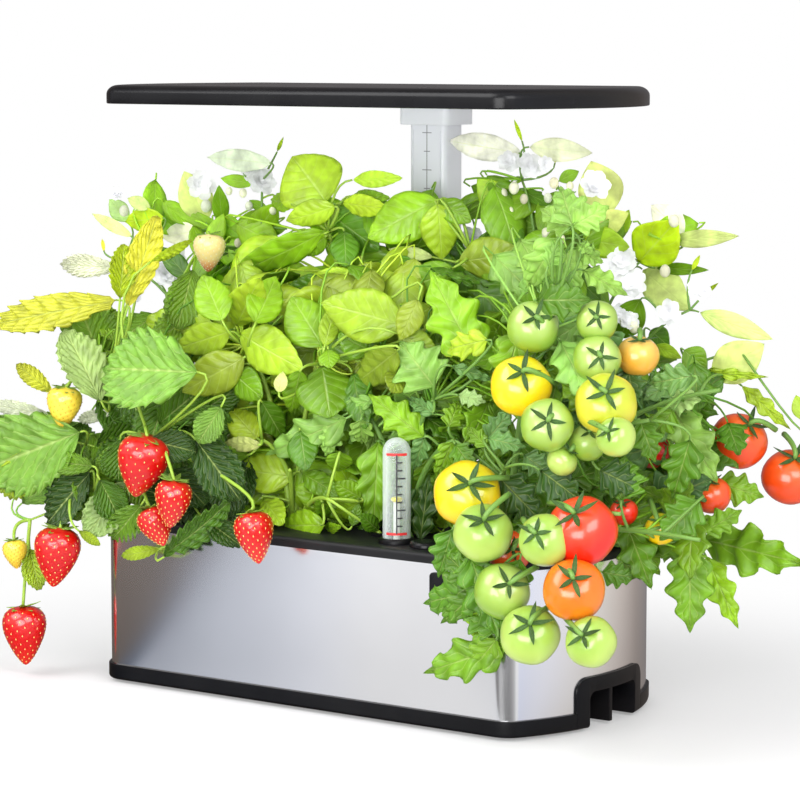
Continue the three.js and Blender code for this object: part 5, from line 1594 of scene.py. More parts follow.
TOMATO_SEPAL_TURN = 0.2
TOMATO_SEPAL_LIFT = 0.12
TOMATO_SEPAL_SHARES = (0.6, 0.85)
TOMATO_SEPAL_RISE_SHARES = (-0.12, 0.2)
TOMATO_SEPAL_WIDTH_SHARE = 0.17
TOMATO_STALK_DEPTH = 10
TOMATO_STALK_SHARE = 0.55
TOMATO_STALK_RADII = (1.5, 1.9)
STAR_SHARE = 0.92
STAR_LEAST_SHARE = 0.02

# Each strawberry: the pixels of its top and its tip, its width in pixels, the Y of its plane, its colour.
# Then the pixels at which their stalks bend, and the colours of their skin, their tip and their seeds.
STRAWBERRIES = (
    (147, 436, 135, 497, 54, -106, "red"), (174, 480, 170, 528, 40, -112, "red"),
    (150, 508, 164, 546, 36, -104, "red"), (250, 512, 259, 564, 41, -106, "red"),
    (60, 528, 53, 587, 48, -100, "red"), (23, 606, 26, 665, 49, -100, "red"),
    (14, 540, 17, 569, 27, -96, "gold"), (66, 387, 62, 429, 37, -90, "gold"),
    (209, 234, 208, 272, 36, -2, "blush"),
)
BERRY_STALK_ENDS = ((142, 415), (159, 424), (136, 482), (272, 496), (66, 505), (26, 560), (12, 520),
                    (80, 366), (214, 214))
STRAWBERRY_COLOURS = {
    "red": ((192, 8, 8), (208, 34, 18), (240, 196, 110)),
    "gold": ((238, 210, 70), (240, 190, 60), (206, 170, 40)),
    "blush": ((250, 226, 150), (240, 110, 60), (250, 236, 190)),
}
BERRY_COLUMNS = 48
BERRY_ROWS = 40
BERRY_POWER = 0.62
BERRY_TAPER_SHARE = 0.22
BERRY_WOBBLE = 0.05
BERRY_CORE_SHARE = 0.6
BERRY_TIP_START = 0.62
BERRY_STALK_DEPTH = 14
BERRY_STALK_RADII = (1.1, 1.3)
PIT_DEPTH = 0.6
PIT_RADIUS = 1.1
SEED_COUNT = 130
SEED_START = 0.06
SEED_RANGE = 0.9
SEED_STEP = 0.02
SEED_LENGTH = 1.5
SEED_WIDTH = 0.85
SEED_SIDES = 6
SEED_ROOT = 0.1
SEED_HEIGHT = 0.4
CALYX_SEPALS = 9
CALYX_START = 0.03
CALYX_TURN = 0.3
CALYX_SHARE = 0.78
CALYX_RISE_SHARES = (-0.1, 0.12)
CALYX_WIDTH_SHARE = 0.3

# Each flower and bud: the pixel of its middle, and its width in pixels
FLOWERS = {
    "jasmine_plant_left": (
        (202, 185, 34), (262, 180, 34), (252, 172, 24), (167, 274, 32), (175, 257, 26), (132, 296, 22),
        (116, 193, 18),
    ),
    "jasmine_plant_right": (
        (509, 161, 24), (530, 165, 28), (546, 164, 17), (596, 184, 33), (622, 260, 30), (631, 282, 33),
        (700, 288, 26), (668, 313, 28), (620, 313, 20), (630, 320, 20), (473, 238, 28),
    ),
}
BUDS = {
    "jasmine_plant_left": (
        (229, 191, 7), (243, 193, 8), (249, 206, 8), (206, 206, 11), (273, 210, 8), (238, 243, 8),
        (249, 237, 7), (124, 211, 10), (247, 273, 8),
    ),
    "jasmine_plant_right": (
        (503, 194, 9), (514, 188, 10), (524, 199, 8), (510, 211, 7), (548, 198, 8), (554, 183, 9),
        (570, 186, 7), (535, 238, 9), (546, 234, 10), (561, 239, 8), (553, 269, 8), (560, 252, 7),
        (513, 284, 9), (575, 293, 9), (576, 304, 7), (674, 221, 10), (665, 271, 10), (634, 327, 10),
        (624, 322, 9),
    ),
}
FLOWER_PLANE = 36
FLOWER_TURNS = (-0.5, 0.5)
FLOWER_RISES = (-0.2, 0.6)
FLOWER_BASE_SHARE = 0.2
# The rings of petals: their count, their length as a share of the radius, and how far they stand up
PETAL_LAYERS = ((6, 1.0, 0.1), (5, 0.68, 0.42), (4, 0.42, 0.8))
PETAL_TURN = 0.12
PETAL_WIDTH_SHARE = 0.8
BUD_PLANE = 38
BUD_COLUMNS = 10
BUD_ROWS = 7
BUD_HEIGHT_SHARE = 1.25
LEAF_THICKNESS = 0.35


def sphere_grid(columns, rows):
    for row in range(rows + 1):
        for column in range(columns):
            yield math.pi * row / rows, 2 * math.pi * column / columns


def grid_faces(columns, rows):
    faces = []
    for row in range(rows):
        for column in range(columns):
            after = (column + 1) % columns
            low = row * columns
            faces.append((low + column, low + columns + column, low + columns + after, low + after))
    return faces


def frame_of(axis):
    """Two directions across an axis."""
    side = axis.orthogonal().normalized()
    return side, axis.cross(side)


def berry_outline(share):
    """The radius of a strawberry, as a share of its half width, from its shoulders to its tip."""
    return math.sin(math.pi * share ** BERRY_POWER) ** BERRY_POWER * (1 - BERRY_TAPER_SHARE * share)


def recess(u):
    return RECESS_SHARE * max(0, u - RECESS_START)


def over_cap(skin):
    """Whether a leaf would be in the way of the cap as it lifts."""
    low, high = box_mm("fill_cap")
    centre = (low + high) / 2
    reach = (high.x - low.x) / 2 + CAP_ROOM
    top = high.z + CAP_LIFT + CAP_ROOM
    return any(point.z < top and (point - centre).xy.length < reach for point in skin[0])


def at_frame(point):
    """The pixel at which the photo shows a point."""
    ray = point - CAMERA_PLACE
    ahead = ray.dot(CAMERA_AHEAD) / PIXELS_AHEAD
    return PHOTO_SIZE / 2 + ray.dot(CAMERA_RIGHT) / ahead, PHOTO_SIZE / 2 - ray.dot(CAMERA_UP) / ahead


def is_clear(base, tip):
    """Whether a leaf from its base to its tip leaves the white places and the flowers in sight."""
    places = list(CLEAR_PLACES)
    for rows in FLOWERS.values():
        places += [(u, v, size / 2, size / 2) for u, v, size in rows]
    for step in range(LEAF_SAMPLES):
        u, v = at_frame(base.lerp(tip, step / (LEAF_SAMPLES - 1)))
        for middle_u, middle_v, half_u, half_v in places:
            across = (u - middle_u) / (half_u + CLEAR_MARGIN)
            above = (v - middle_v) / (half_v + CLEAR_MARGIN)
            if across ** 2 + above ** 2 < 1:
                return False
    return True


class Plant:
    """A plant: the skins of its parts, and the points along its shoots that its leaves can grow from."""

    def __init__(self, name, chance):
        self.name = name
        self.kind = name.split("_")[0]
        self.chance = chance
        self.joints = []
        self.leaves, self.stems, self.fruit, self.seeds, self.sepals, self.flowers = (
            Foliage() for _ in range(6))
        number, x, y = list(pod_middles())[PLANTS.index(name)]
        _, sponge_top = box_mm(f"grow_sponge_{number}")
        self.crown = Vector((x, y, sponge_top.z))
        self.shoot_light = light_of(LEAF_COLOURS[SHOOT_COLOURS[self.kind]])

    def varied(self, colour, painted_light_share=1):
        """The light of a named colour, which differs a little from leaf to leaf, times a share of painted
        light.
        """
        light = light_of(LEAF_COLOURS[colour])
        brightness = painted_light_share * self.chance.uniform(1 - LIGHT_CHANGE, 1 + LIGHT_CHANGE)
        warmth = self.chance.uniform(-WARMTH_CHANGE, WARMTH_CHANGE)
        shares = (brightness * (1 + warmth), brightness, brightness * (1 - warmth))
        return tuple(min(1, part * share) for part, share in zip(light, shares))

    # A leaf colour with its plant's painted light and shade
    def leaf_colour_with_painted_light(self, colour):
        return self.varied(colour, PLANT_PAINTED_LIGHTS[self.name])

    def grow_shoots(self):
        """Stems from the pod to the end of each shoot."""
        chance = self.chance
        radius = SHOOT_RADII[self.kind]
        for u, v, plane in SHOOT_ENDS[self.name]:
            end = at_pixel(u, v, plane)
            shift = Vector((chance.uniform(-SHOOT_SPREAD, SHOOT_SPREAD),
                            chance.uniform(-SHOOT_SPREAD, SHOOT_SPREAD), -SHOOT_SPREAD))
            start = self.crown + shift
            bend = start.lerp(end, SHOOT_BEND_SHARE)
            bend.z = self.crown.z + max(end.z - self.crown.z, SHOOT_LEAST_RISE) * SHOOT_BEND_RISE_SHARE
            foot, tip = radius * SHOOT_FOOT_SHARE, radius * SHOOT_TIP_SHARE
            self.stems.add(stem_skin(start, bend, end, foot, tip, SHOOT_STEPS), self.shoot_light)
            self.joints += curve_path(start, bend, end, SHOOT_STEPS)[SHOOT_BARE_STEPS:]

    def nearest_joint(self, point):
        return min(self.joints, key=lambda joint: (joint - point).length)

    def grow_stalk(self, base, along, first, last, sides, light):
        """A thin stalk from the nearest shoot to the base of a leaf."""
        joint = self.nearest_joint(base)
        bend = base - along * ((joint - base).length * STALK_BEND_SHARE)
        self.stems.add(stem_skin(joint, bend, base, first, last, sides, sides), light)

    def grow_leaf(self, base, tip, width, turn, light):
        """A leaf that faces the camera, apart from its turn about its midrib in degrees."""
        kind = LEAF_KINDS[self.kind]
        along = (tip - base).normalized()
        normal = Matrix.Rotation(math.radians(turn), 3, along) @ square_to(along, towards_camera(base))
        skin, places = leaf_skin(kind, base, tip, width, normal, self.chance)
        if over_cap(skin):
            return
        self.leaves.add(skin, light, places)
        radius = kind["stalk"]
        self.grow_stalk(base, along, radius * STALK_FOOT_SHARE, radius * STALK_TIP_SHARE, STALK_SIDES,
                        self.shoot_light)

    def grow_shown_leaves(self):
        chance = self.chance
        for owner, plane, depth, rows in LEAF_SETS:
            if owner != self.name:
                continue
            for base_u, base_v, tip_u, tip_v, width, turn, colour in rows:
                middle = plane + (recess(tip_u) if plane < 0 else 0)
                base = at_pixel(base_u, base_v, middle + chance.uniform(-depth, depth))
                tip = at_pixel(tip_u, tip_v, middle + chance.uniform(-depth, depth))
                self.grow_leaf(base, tip, width * PIXEL_SIZE, turn, self.leaf_colour_with_painted_light(colour))

    def grow_fill(self, base, tip, width, normal, colour, stalk_foot):
        """A plainer leaf behind those that the photo shows one by one."""
        kind = LEAF_KINDS[self.kind]
        skin, places = leaf_skin(kind, base, tip, width, normal, self.chance, FILL_DETAIL)
        self.leaves.add(skin, self.leaf_colour_with_painted_light(colour), places)
        self.grow_stalk(base, (tip - base).normalized(), stalk_foot, FILL_STALK_TIP, FILL_STALK_SIDES,
                        self.varied(colour))

    def grow_extra_leaves(self):
        """Leaves that the photo doesn't show, which fill the plant behind the ones that it does."""
        chance = self.chance
        count, length, colour = EXTRA_LEAVES[self.name]
        for _ in range(count):
            angle = chance.uniform(0, math.pi)
            z = chance.uniform(EXTRA_LOW, EXTRA_HIGH)
            share = math.sqrt(chance.random())
            base = Vector((self.crown.x + EXTRA_REACH_X * share * math.cos(angle),
                           self.crown.y + EXTRA_REACH_Y * share * math.sin(angle), z))
            out = Vector((math.cos(angle), math.sin(angle), chance.uniform(*EXTRA_RISES))).normalized()
            size = length * chance.uniform(*EXTRA_SIZE_SHARES)
            tip = base + out * size
            if not is_clear(base, tip):
                continue
            turn = Matrix.Rotation(chance.uniform(-EXTRA_TURN, EXTRA_TURN), 3, out)
            normal = turn @ square_to(out, Vector((0, 0, 1)))
            self.grow_fill(base, tip, size * EXTRA_WIDTH_SHARE, normal, colour, EXTRA_STALK_FOOT)

    def fill_patch(self, u, v, half_u, half_v, plane, count, colour):
        """Leaves at chance places in a patch, which hang outwards and show their faces."""
        chance = self.chance
        behind = recess(u) / 2 if plane < 0 else 0
        for _ in range(count):
            angle = chance.uniform(0, 2 * math.pi)
            share = math.sqrt(chance.random())
            place_u = u + half_u * share * math.cos(angle)
            place_v = v + half_v * share * math.sin(angle)
            middle = at_pixel(place_u, place_v, plane + behind + chance.uniform(-PATCH_DEPTH, PATCH_DEPTH))
            facing = towards_camera(middle)
            lean = chance.uniform(-PATCH_LEAN, PATCH_LEAN)
            hang = chance.choice(PATCH_HANG_SHARES)
            along = CAMERA_RIGHT * math.sin(lean) - CAMERA_UP * math.cos(lean) * hang
            along = (along + facing * chance.uniform(0, PATCH_FACING_SHARE)).normalized()
            size = PATCH_LENGTHS[self.kind] * chance.uniform(*PATCH_SIZE_SHARES)
            turn = Matrix.Rotation(chance.uniform(-PATCH_TURN, PATCH_TURN), 3, along)
            base = middle - along * (size / 2)
            tip = middle + along * (size / 2)
            if is_clear(base, tip):
                width = size * PATCH_WIDTH_SHARES[self.kind]
                self.grow_fill(base, tip, width, turn @ square_to(along, facing), colour, PATCH_STALK_FOOT)

    def grow_sepal(self, base, tip, width, normal, colour):
        skin, places = leaf_skin(LEAF_KINDS["sepal"], base, tip, width, normal, self.chance)
        self.sepals.add(skin, self.varied(colour), places)

    def grow_tomato(self, u, v, size, star_u, star_v, stalk_u, stalk_v, plane, colour):
        chance = self.chance
        centre = at_pixel(u, v, plane)
        radius = size * PIXEL_SIZE
        across = (star_u - u) / size * STAR_SHARE
        above = (v - star_v) / size * STAR_SHARE
        ahead = math.sqrt(max(STAR_LEAST_SHARE, 1 - across ** 2 - above ** 2))
        axis = (CAMERA_RIGHT * across + CAMERA_UP * above + towards_camera(centre) * ahead).normalized()
        side, other = frame_of(axis)
        lobes = chance.choice(TOMATO_LOBES)
        skin_light, eye_light = (light_of(part) for part in TOMATO_COLOURS[colour])
        points = []
        places = []
        colours = []
        for polar, turn in sphere_grid(TOMATO_COLUMNS, TOMATO_ROWS):
            swell = 1 + TOMATO_LOBE_SHARE * math.cos(lobes * turn) * math.sin(polar)
            dip = TOMATO_DIP_SHARE * math.exp(-(polar / TOMATO_DIP_ANGLE) ** 2)
            reach = radius * math.sin(polar) * swell
            height = radius * (TOMATO_HEIGHT_SHARE * math.cos(polar) - dip)
            points.append(centre + around(side, other, turn) * reach + axis * height)
            places.append((polar / math.pi, 1 / 2))
            colours.append(mixed(skin_light, eye_light, max(0, 1 - polar / math.pi / TOMATO_EYE_SHARE)))
        self.fruit.add((points, grid_faces(TOMATO_COLUMNS, TOMATO_ROWS)), colours, places)
        hub = centre + axis * (radius * TOMATO_HUB_SHARE)
        for step in range(TOMATO_SEPALS):
            angle = 2 * math.pi * step / TOMATO_SEPALS + chance.uniform(-TOMATO_SEPAL_TURN, TOMATO_SEPAL_TURN)
            out = (around(side, other, angle) + axis * TOMATO_SEPAL_LIFT).normalized()
            tip = hub + out * (radius * chance.uniform(*TOMATO_SEPAL_SHARES))
            tip += axis * (radius * chance.uniform(*TOMATO_SEPAL_RISE_SHARES))
            self.grow_sepal(hub, tip, radius * TOMATO_SEPAL_WIDTH_SHARE, axis, "sepal")
        stalk = at_pixel(stalk_u, stalk_v, plane + TOMATO_STALK_DEPTH)
        bend = hub + axis * (radius * TOMATO_STALK_SHARE)
        self.stems.add(stem_skin(hub, bend, stalk, *TOMATO_STALK_RADII), self.shoot_light)

    def grow_strawberry(self, top_u, top_v, tip_u, tip_v, width, plane, colour):
        chance = self.chance
        top = at_pixel(top_u, top_v, plane)
        tip = at_pixel(tip_u, tip_v, plane)
        axis = (tip - top).normalized()
        length = (tip - top).length
        radius = width * PIXEL_SIZE / 2
        side, other = frame_of(axis)
        skin_light, tip_light, seed_light = (light_of(part) for part in STRAWBERRY_COLOURS[colour])
        single, double, triple = (chance.uniform(-BERRY_WOBBLE, BERRY_WOBBLE) for _ in range(3))

        def place(share, turn):
            swell = 1 + single * math.cos(turn) + double * math.cos(2 * turn) + triple * math.sin(3 * turn)
            reach = radius * berry_outline(share) * swell
            return top + axis * (length * share) + around(side, other, turn) * reach

        def middle(share):
            return top + axis * (length * min(BERRY_CORE_SHARE, share))

        golden = math.pi * (3 - math.sqrt(5))
        pits = [(SEED_START + SEED_RANGE * (at + 1 / 2) / SEED_COUNT, at * golden % (2 * math.pi))
                for at in range(SEED_COUNT)]
        pit_places = [place(*pit) for pit in pits]
        points = []
        colours = []
        for row in range(BERRY_ROWS + 1):
            share = row / BERRY_ROWS
            for column in range(BERRY_COLUMNS):
                point = place(share, 2 * math.pi * column / BERRY_COLUMNS)
                near = min((point - pit).length for pit in pit_places)
                inward = (middle(share) - point).normalized()
                points.append(point + inward * (PIT_DEPTH * math.exp(-(near / PIT_RADIUS) ** 2)))
                blend = max(0, share - BERRY_TIP_START) / (1 - BERRY_TIP_START)
                colours.append(mixed(skin_light, tip_light, blend))
        self.fruit.add((points, grid_faces(BERRY_COLUMNS, BERRY_ROWS)), colours)
        for share, turn in pits:
            here = place(share, turn)
            ahead = (place(min(1, share + SEED_STEP), turn) - here).normalized()
            outward = square_to(ahead, here - middle(share))
            cross = ahead.cross(outward)
            ring = []
            for step in range(SEED_SIDES):
                angle = 2 * math.pi * step / SEED_SIDES
                ring.append(here - outward * SEED_ROOT + ahead * (SEED_LENGTH / 2 * math.cos(angle))
                            + cross * (SEED_WIDTH / 2 * math.sin(angle)))
            ring.append(here + outward * SEED_HEIGHT)
            faces = [(step, (step + 1) % SEED_SIDES, SEED_SIDES) for step in range(SEED_SIDES)]
            self.seeds.add((ring, faces), seed_light)
        base = top + axis * (length * CALYX_START)
        for step in range(CALYX_SEPALS):
            angle = 2 * math.pi * (step + chance.uniform(-CALYX_TURN, CALYX_TURN)) / CALYX_SEPALS
            tip = base + around(side, other, angle) * (radius * CALYX_SHARE)
            tip += axis * (length * chance.uniform(*CALYX_RISE_SHARES))
            self.grow_sepal(base, tip, radius * CALYX_WIDTH_SHARE, -axis, "calyx")

    def grow_berry_stalk(self, u, v, end_u, end_v, plane):
        end = at_pixel(end_u, end_v, plane + BERRY_STALK_DEPTH)
        skin = stem_skin(at_pixel(u, v, plane), end, self.nearest_joint(end), *BERRY_STALK_RADII)
        self.stems.add(skin, self.shoot_light)

    def grow_flower(self, u, v, size):
        chance = self.chance
        centre = at_pixel(u, v, FLOWER_PLANE)
        tilt = CAMERA_RIGHT * chance.uniform(*FLOWER_TURNS) + CAMERA_UP * chance.uniform(*FLOWER_RISES)
        axis = (towards_camera(centre) + tilt).normalized()
        side, other = frame_of(axis)
        radius = size * PIXEL_SIZE / 2
        base = centre - axis * (radius * FLOWER_BASE_SHARE)
        white = light_of(LEAF_COLOURS["white"])
        for layer, (count, reach, lift) in enumerate(PETAL_LAYERS):
            for step in range(count):
                angle = 2 * math.pi * (step + layer / 2 + chance.uniform(-PETAL_TURN, PETAL_TURN)) / count
                out = (around(side, other, angle) + axis * lift).normalized()
                length = radius * reach
                skin, places = leaf_skin(LEAF_KINDS["petal"], base, base + out * length,
                                         length * PETAL_WIDTH_SHARE, axis, chance)
                self.flowers.add(skin, white, places)

    def grow_bud(self, u, v, size):
        centre = at_pixel(u, v, BUD_PLANE)
        radius = size * PIXEL_SIZE / 2
        points = []
        for polar, turn in sphere_grid(BUD_COLUMNS, BUD_ROWS):
            out = Vector((math.sin(polar) * math.cos(turn), math.sin(polar) * math.sin(turn),
                          BUD_HEIGHT_SHARE * math.cos(polar)))
            points.append(centre + out * radius)
        self.flowers.add((points, grid_faces(BUD_COLUMNS, BUD_ROWS)), self.varied("bud"))

    def grow(self):
        """Grows every part of the plant, in the order in which it takes its chances."""
        self.grow_shoots()
        self.grow_shown_leaves()
        self.grow_extra_leaves()
        for patch in LEAF_PATCHES[self.name]:
            self.fill_patch(*patch)
        if self.name == "tomato_plant_right":
            for row in TOMATOES:
                self.grow_tomato(*row)
        if self.name == "strawberry_plant":
            for row in STRAWBERRIES:
                self.grow_strawberry(*row)
            for (u, v, _, _, _, plane, _), end in zip(STRAWBERRIES, BERRY_STALK_ENDS):
                self.grow_berry_stalk(u, v, *end, plane)
        for row in FLOWERS.get(self.name, ()):
            self.grow_flower(*row)
        for row in BUDS.get(self.name, ()):
            self.grow_bud(*row)

    def dress(self):
        """Makes an object of each part, fixed to the base."""
        leaf = leaf_finishes[self.kind]
        parts = (
            ("leaves", self.leaves, leaf, LEAF_THICKNESS), ("stems", self.stems, stem_finish, 0),
            ("fruit", self.fruit, fruit_finish, 0), ("seeds", self.seeds, seed_finish, 0),
            ("sepals", self.sepals, leaf, LEAF_THICKNESS), ("flowers", self.flowers, petal_finish, 0),
        )
        for part, gathered, material, thickness in parts:
            if not gathered.points:
                continue
            thing = gathered.object(f"{self.name}_{part}", thickness)
            thing.data.materials.clear()
            thing.data.materials.append(material)
            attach(thing, "base")
            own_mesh(thing)
            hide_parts(self.name)


# Plant materials

def coloured_material(name, roughness):
    """A material that takes its colour from the points of its mesh."""
    material, tree, shader = node_material(name, WHITE, roughness)
    colour = add_node(tree, "ShaderNodeAttribute", attribute_name="leaf_colour").outputs["Color"]
    tree.links.new(colour, shader.inputs["Base Color"])
    return material, tree, shader, colour


def leaf_material(name, veins, sweep, vein_share, roughness, through, puff_height):
    """A mottled leaf or petal that lets light through and swells between its pale veins."""
    material, tree, shader, colour = coloured_material(name, roughness)
    place = add_node(tree, "ShaderNodeUVMap", uv_map="leaf_places")
    split = add_node(tree, "ShaderNodeSeparateXYZ")
    tree.links.new(place.outputs["UV"], split.inputs["Vector"])
    across = calculate(tree, "ABSOLUTE", calculate(tree, "MULTIPLY_ADD", split.outputs["Y"], 2, -1))
    forward = calculate(tree, "MULTIPLY_ADD", across, -sweep, split.outputs["X"])
    phase = calculate(tree, "FRACT", calculate(tree, "MULTIPLY", forward, veins))
    off_vein = calculate(tree, "ABSOLUTE", calculate(tree, "SUBTRACT", phase, 1 / 2))
    side_vein = calculate(tree, "MULTIPLY", calculate(tree, "SUBTRACT", 1 / 2, off_vein), SIDE_VEIN_FADE)
    side_mask = calculate(tree, "SUBTRACT", 1, side_vein, clamp=True)
    middle_vein = calculate(tree, "MULTIPLY", across, MIDDLE_VEIN_FADE)
    middle_mask = calculate(tree, "SUBTRACT", 1, middle_vein, clamp=True)
    mask = calculate(tree, "MAXIMUM", calculate(tree, "MULTIPLY", side_mask, SIDE_VEIN_SHARE), middle_mask)
    mottle = spread(tree, object_noise(tree, LEAF_MOTTLE_SCALE), *LEAF_MOTTLE_SHARES)
    pale = mix_colours(tree, calculate(tree, "MULTIPLY", mask, vein_share), shaded(tree, colour, mottle),
                       (*VEIN_COLOUR, 1))
    tree.links.new(pale, shader.inputs["Base Color"])
    rise = calculate(tree, "POWER", calculate(tree, "MULTIPLY", off_vein, 2), 2)
    puff = calculate(tree, "SUBTRACT", calculate(tree, "SUBTRACT", 1, rise), middle_mask)
    add_bump(tree, shader, puff, LEAF_BUMP_STRENGTH, puff_height)
    glow = add_node(tree, "ShaderNodeBsdfTranslucent")
    tree.links.new(pale, glow.inputs["Color"])
    mix_shaders(tree, through, shader, glow)
    return material


def fruit_material(name, roughness, coat):
    material, _, shader, _ = coloured_material(name, roughness)
    for socket, value in FRUIT_DEPTH.items():
        shader.inputs[socket].default_value = value
    shader.inputs["Coat Weight"].default_value = coat
    return material


SIDE_VEIN_FADE = 14
SIDE_VEIN_SHARE = 0.6
MIDDLE_VEIN_FADE = 16
VEIN_COLOUR = (0.66, 0.8, 0.26)
LEAF_MOTTLE_SCALE = 90
LEAF_MOTTLE_SHARES = (0.74, 1.2)
LEAF_BUMP_STRENGTH = 0.8
FRUIT_DEPTH = {
    "Coat Roughness": 0.12, "Subsurface Weight": 0.12, "Subsurface Radius": (1, 0.5, 0.25),
    "Subsurface Scale": 0.004,
}

# The veins of a leaf and how far they sweep forward, how much paler they are, its roughness, how much light
# comes through it, and how high it swells between its veins
leaf_finishes = {
    "basil": leaf_material("basil_leaf", 6, 0.3, 0.3, 0.32, 0.3, 0.3),
    "strawberry": leaf_material("strawberry_leaf", 8, 0.5, 0.5, 0.42, 0.25, 0.9),
    "tomato": leaf_material("tomato_leaf", 5, 0.35, 0.4, 0.42, 0.25, 0.6),
    "jasmine": leaf_material("jasmine_leaf", 5, 0.45, 0.3, 0.4, 0.35, 0.2),
}
stem_finish = fruit_material("stem", 0.5, 0)
fruit_finish = fruit_material("fruit_skin", 0.28, 0.6)
seed_finish = fruit_material("seed", 0.5, 0)
petal_finish = leaf_material("petal", 1, 0, 0, 0.6, 0.3, 0.1)

FIRST_CHANCE = 3
for number, name in enumerate(PLANTS, FIRST_CHANCE):
    plant = Plant(name, random.Random(number))
    plant.grow()
    plant.dress()

# Studio

FLOOR_HALF = 6000
FLOOR_COLOUR = (0.84, 0.84, 0.85)
FLOOR_ROUGHNESS = 0.35
FLOOR_GLOW_SHARE = 0.3
FLOOR_SHADE_END = 250
FLOOR_WHITE_START = 520
# Painted shade in what metal sees of the floor: darker near the garden, down to a share of its colour
REFLECTION_SHADE_START = 250
REFLECTION_SHADE_END = 700
REFLECTION_SHADE_SHARE = 0.76
SKY_LIGHT = 0.85
LIGHT_AIM = Vector((0, 0, 180))
# The lamps of the studio: the place, the size and the power of each
STUDIO_LIGHTS = {
    "key": (Vector((-900, -1300, 1900)), 1500, 34), "fill": (Vector((1700, -900, 1300)), 1200, 26),
    "front": (Vector((600, -1800, 420)), 1100, 27),
}

# Painted reflections for metal: grey and white bands that the floor shows only to glossy rays, as if cards
# stood round the front right corner of the base, each a heading in degrees from +X and its colour
FULL_TURN = 360
PAINTED_REFLECTION_CENTRE = Vector((170, -80, 0))
PAINTED_REFLECTION_CARDS = (
    (0, (0.85, 0.87, 0.97)), (12, (0.9, 0.9, 0.96)), (34, (0.85, 0.82, 0.8)), (54, (0.74, 0.69, 0.63)),
    (66, (0.62, 0.55, 0.5)), (84, (0.36, 0.31, 0.28)), (110, (0.24, 0.23, 0.24)), (140, (0.3, 0.3, 0.3)),
    (158, (0.2, 0.17, 0.15)), (184, (0.15, 0.12, 0.1)), (200, (0.5, 0.5, 0.55)), (222, (0.8, 0.8, 0.85)),
    (236, (0.9, 0.9, 0.95)), (240, (0.2, 0.18, 0.18)), (250, (0.25, 0.24, 0.24)), (260, (0.6, 0.6, 0.6)),
    (270, (0.5, 0.5, 0.5)), (282, (0.2, 0.2, 0.2)), (302, (0.25, 0.25, 0.25)), (318, (0.42, 0.41, 0.41)),
    (330, (0.6, 0.6, 0.6)), (337, WHITE), (346, WHITE), (352, (0.8, 0.84, 1.0)),
    (360, (0.85, 0.87, 0.97)),
)
# The same painted reflections as the sky shows them to glossy rays over the horizon, where those in front are
# lighter
SKY_PAINTED_REFLECTIONS = (
    (0, (0.85, 0.87, 0.97)), (34, (0.85, 0.82, 0.8)), (60, (0.7, 0.64, 0.58)), (84, (0.36, 0.31, 0.28)),
    (110, (0.24, 0.23, 0.24)), (184, (0.17, 0.14, 0.12)), (200, (0.5, 0.5, 0.55)), (220, WHITE),
    (290, WHITE), (360, (0.85, 0.87, 0.97)),
)
# Painted reflections on the floor for glossy rays: grey stripes that run towards the front left, the distance
# of each across them from the middle of the garden, and its colour
STRIPE_AXIS = Vector((0.788, -0.616, 0))
STRIPES_FRONT = -90
PAINTED_REFLECTION_STRIPES = (
    (-140, (0.17, 0.14, 0.12)), (-84, (0.16, 0.13, 0.11)), (-77, (0.13, 0.15, 0.2)),
    (-72, (0.15, 0.18, 0.24)), (-66, (0.46, 0.49, 0.56)), (-33, (0.6, 0.63, 0.7)), (11, (0.72, 0.75, 0.82)),
    (56, (0.88, 0.9, 0.96)), (101, WHITE), (168, WHITE), (208, (0.96, 0.97, 1.0)),
)


def painted_reflection_colours(tree, place, painted_reflections):
    """The colour of the painted reflections in the direction of a place from their centre."""
    split = add_node(tree, "ShaderNodeSeparateXYZ")
    tree.links.new(place, split.inputs["Vector"])
    heading = calculate(tree, "ARCTAN2", split.outputs["Y"], split.outputs["X"])
    share = calculate(tree, "WRAP", calculate(tree, "DIVIDE", heading, 2 * math.pi), 1, 0)
    return colour_stops(tree, share, [(degrees / FULL_TURN, colour) for degrees, colour in painted_reflections])


def floor_painted_reflections(tree, place):
    """The painted reflections that metal sees in the floor: stripes in front of the garden, and painted cards
    elsewhere.
    """
    from_centre = calculate_vector(tree, "SUBTRACT", place, PAINTED_REFLECTION_CENTRE * MM).outputs["Vector"]
    across = calculate_vector(tree, "DOT_PRODUCT", place, STRIPE_AXIS).outputs["Value"]
    low, high = PAINTED_REFLECTION_STRIPES[0][0], PAINTED_REFLECTION_STRIPES[-1][0]
    share = spread(tree, across, 0, 1, low * MM, high * MM)
    stripes = colour_stops(tree, share, [((at - low) / (high - low), colour) for at, colour in PAINTED_REFLECTION_STRIPES])
    split = add_node(tree, "ShaderNodeSeparateXYZ")
    tree.links.new(place, split.inputs["Vector"])
    before = calculate(tree, "LESS_THAN", split.outputs["Y"], STRIPES_FRONT * MM)
    both = calculate(tree, "MULTIPLY", calculate(tree, "LESS_THAN", across, high * MM), before)
    return mix_colours(tree, both, painted_reflection_colours(tree, from_centre, PAINTED_REFLECTION_CARDS), stripes)


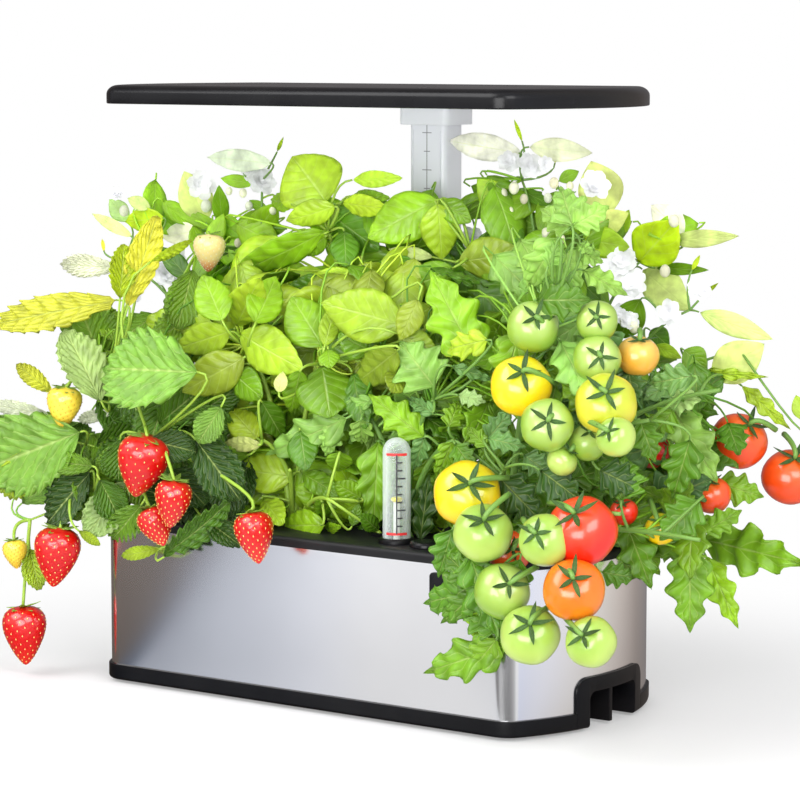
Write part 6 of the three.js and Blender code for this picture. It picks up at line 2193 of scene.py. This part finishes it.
def floor_material():
    """A pale floor that the camera sees as white apart from its shadow, and in which metal sees painted
    reflections.
    """
    material, tree, shader = node_material("studio_floor", FLOOR_COLOUR, FLOOR_ROUGHNESS)
    place = add_node(tree, "ShaderNodeTexCoord").outputs["Object"]
    distance = calculate_vector(tree, "LENGTH", place).outputs["Value"]
    fade = spread(tree, distance, FLOOR_GLOW_SHARE, 1, FLOOR_SHADE_END * MM, FLOOR_WHITE_START * MM,
                  "SMOOTHSTEP")
    path = add_node(tree, "ShaderNodeLightPath").outputs
    straight = calculate(tree, "MAXIMUM", path["Is Camera Ray"], path["Is Glossy Ray"])
    clear = calculate(tree, "MAXIMUM", straight, path["Is Transmission Ray"])
    share = calculate(tree, "MAXIMUM", calculate(tree, "MULTIPLY", fade, clear), path["Is Glossy Ray"])
    # Painted shade: the painted reflections grow darker near the garden
    painted_shade = spread(tree, distance, REFLECTION_SHADE_SHARE, 1, REFLECTION_SHADE_START * MM, REFLECTION_SHADE_END * MM)
    painted_reflections = shaded(tree, floor_painted_reflections(tree, place), painted_shade)
    glow = add_node(tree, "ShaderNodeEmission", Strength=1)
    # Glossy rays see the painted reflections, and the camera sees plain white
    tree.links.new(mix_colours(tree, path["Is Glossy Ray"], (*WHITE, 1), painted_reflections), glow.inputs["Color"])
    mix_shaders(tree, share, shader, glow)
    return material


def make_floor():
    corners = [Vector((x * FLOOR_HALF, y * FLOOR_HALF, 0)) for x, y in ((-1, -1), (1, -1), (1, 1), (-1, 1))]
    floor = object_of("floor", (corners, [(0, 1, 2, 3)]))
    floor.data.materials.append(floor_material())


def make_world():
    """Soft daylight from all round, on a white background, with painted reflections of cards for metal to
    show.
    """
    world = bpy.data.worlds.new("studio")
    bpy.context.scene.world = world
    world.use_nodes = True
    tree = world.node_tree
    sky = tree.nodes["Background"]
    seen = add_node(tree, "ShaderNodeBackground", Color=(*WHITE, 1), Strength=1)
    path = add_node(tree, "ShaderNodeLightPath").outputs
    place = add_node(tree, "ShaderNodeTexCoord").outputs["Generated"]
    daylight = (SKY_LIGHT, SKY_LIGHT, SKY_LIGHT, 1)
    colour = mix_colours(tree, path["Is Glossy Ray"], daylight, painted_reflection_colours(tree, place, SKY_PAINTED_REFLECTIONS))
    tree.links.new(colour, sky.inputs["Color"])
    straight = calculate(tree, "MAXIMUM", path["Is Camera Ray"], path["Is Transmission Ray"])
    mix_shaders(tree, straight, sky, seen, "World Output")


def make_light(name, place, size, power):
    data = bpy.data.lights.new(name, "AREA")
    data.energy = power
    data.size = size * MM
    lamp = add_object(name, data)
    lamp.location = place * MM
    lamp.rotation_euler = (LIGHT_AIM - place).to_track_quat("-Z", "Y").to_euler()


make_floor()
make_world()
for name, light in STUDIO_LIGHTS.items():
    make_light(name, *light)
bpy.context.scene.view_settings.view_transform = "Standard"
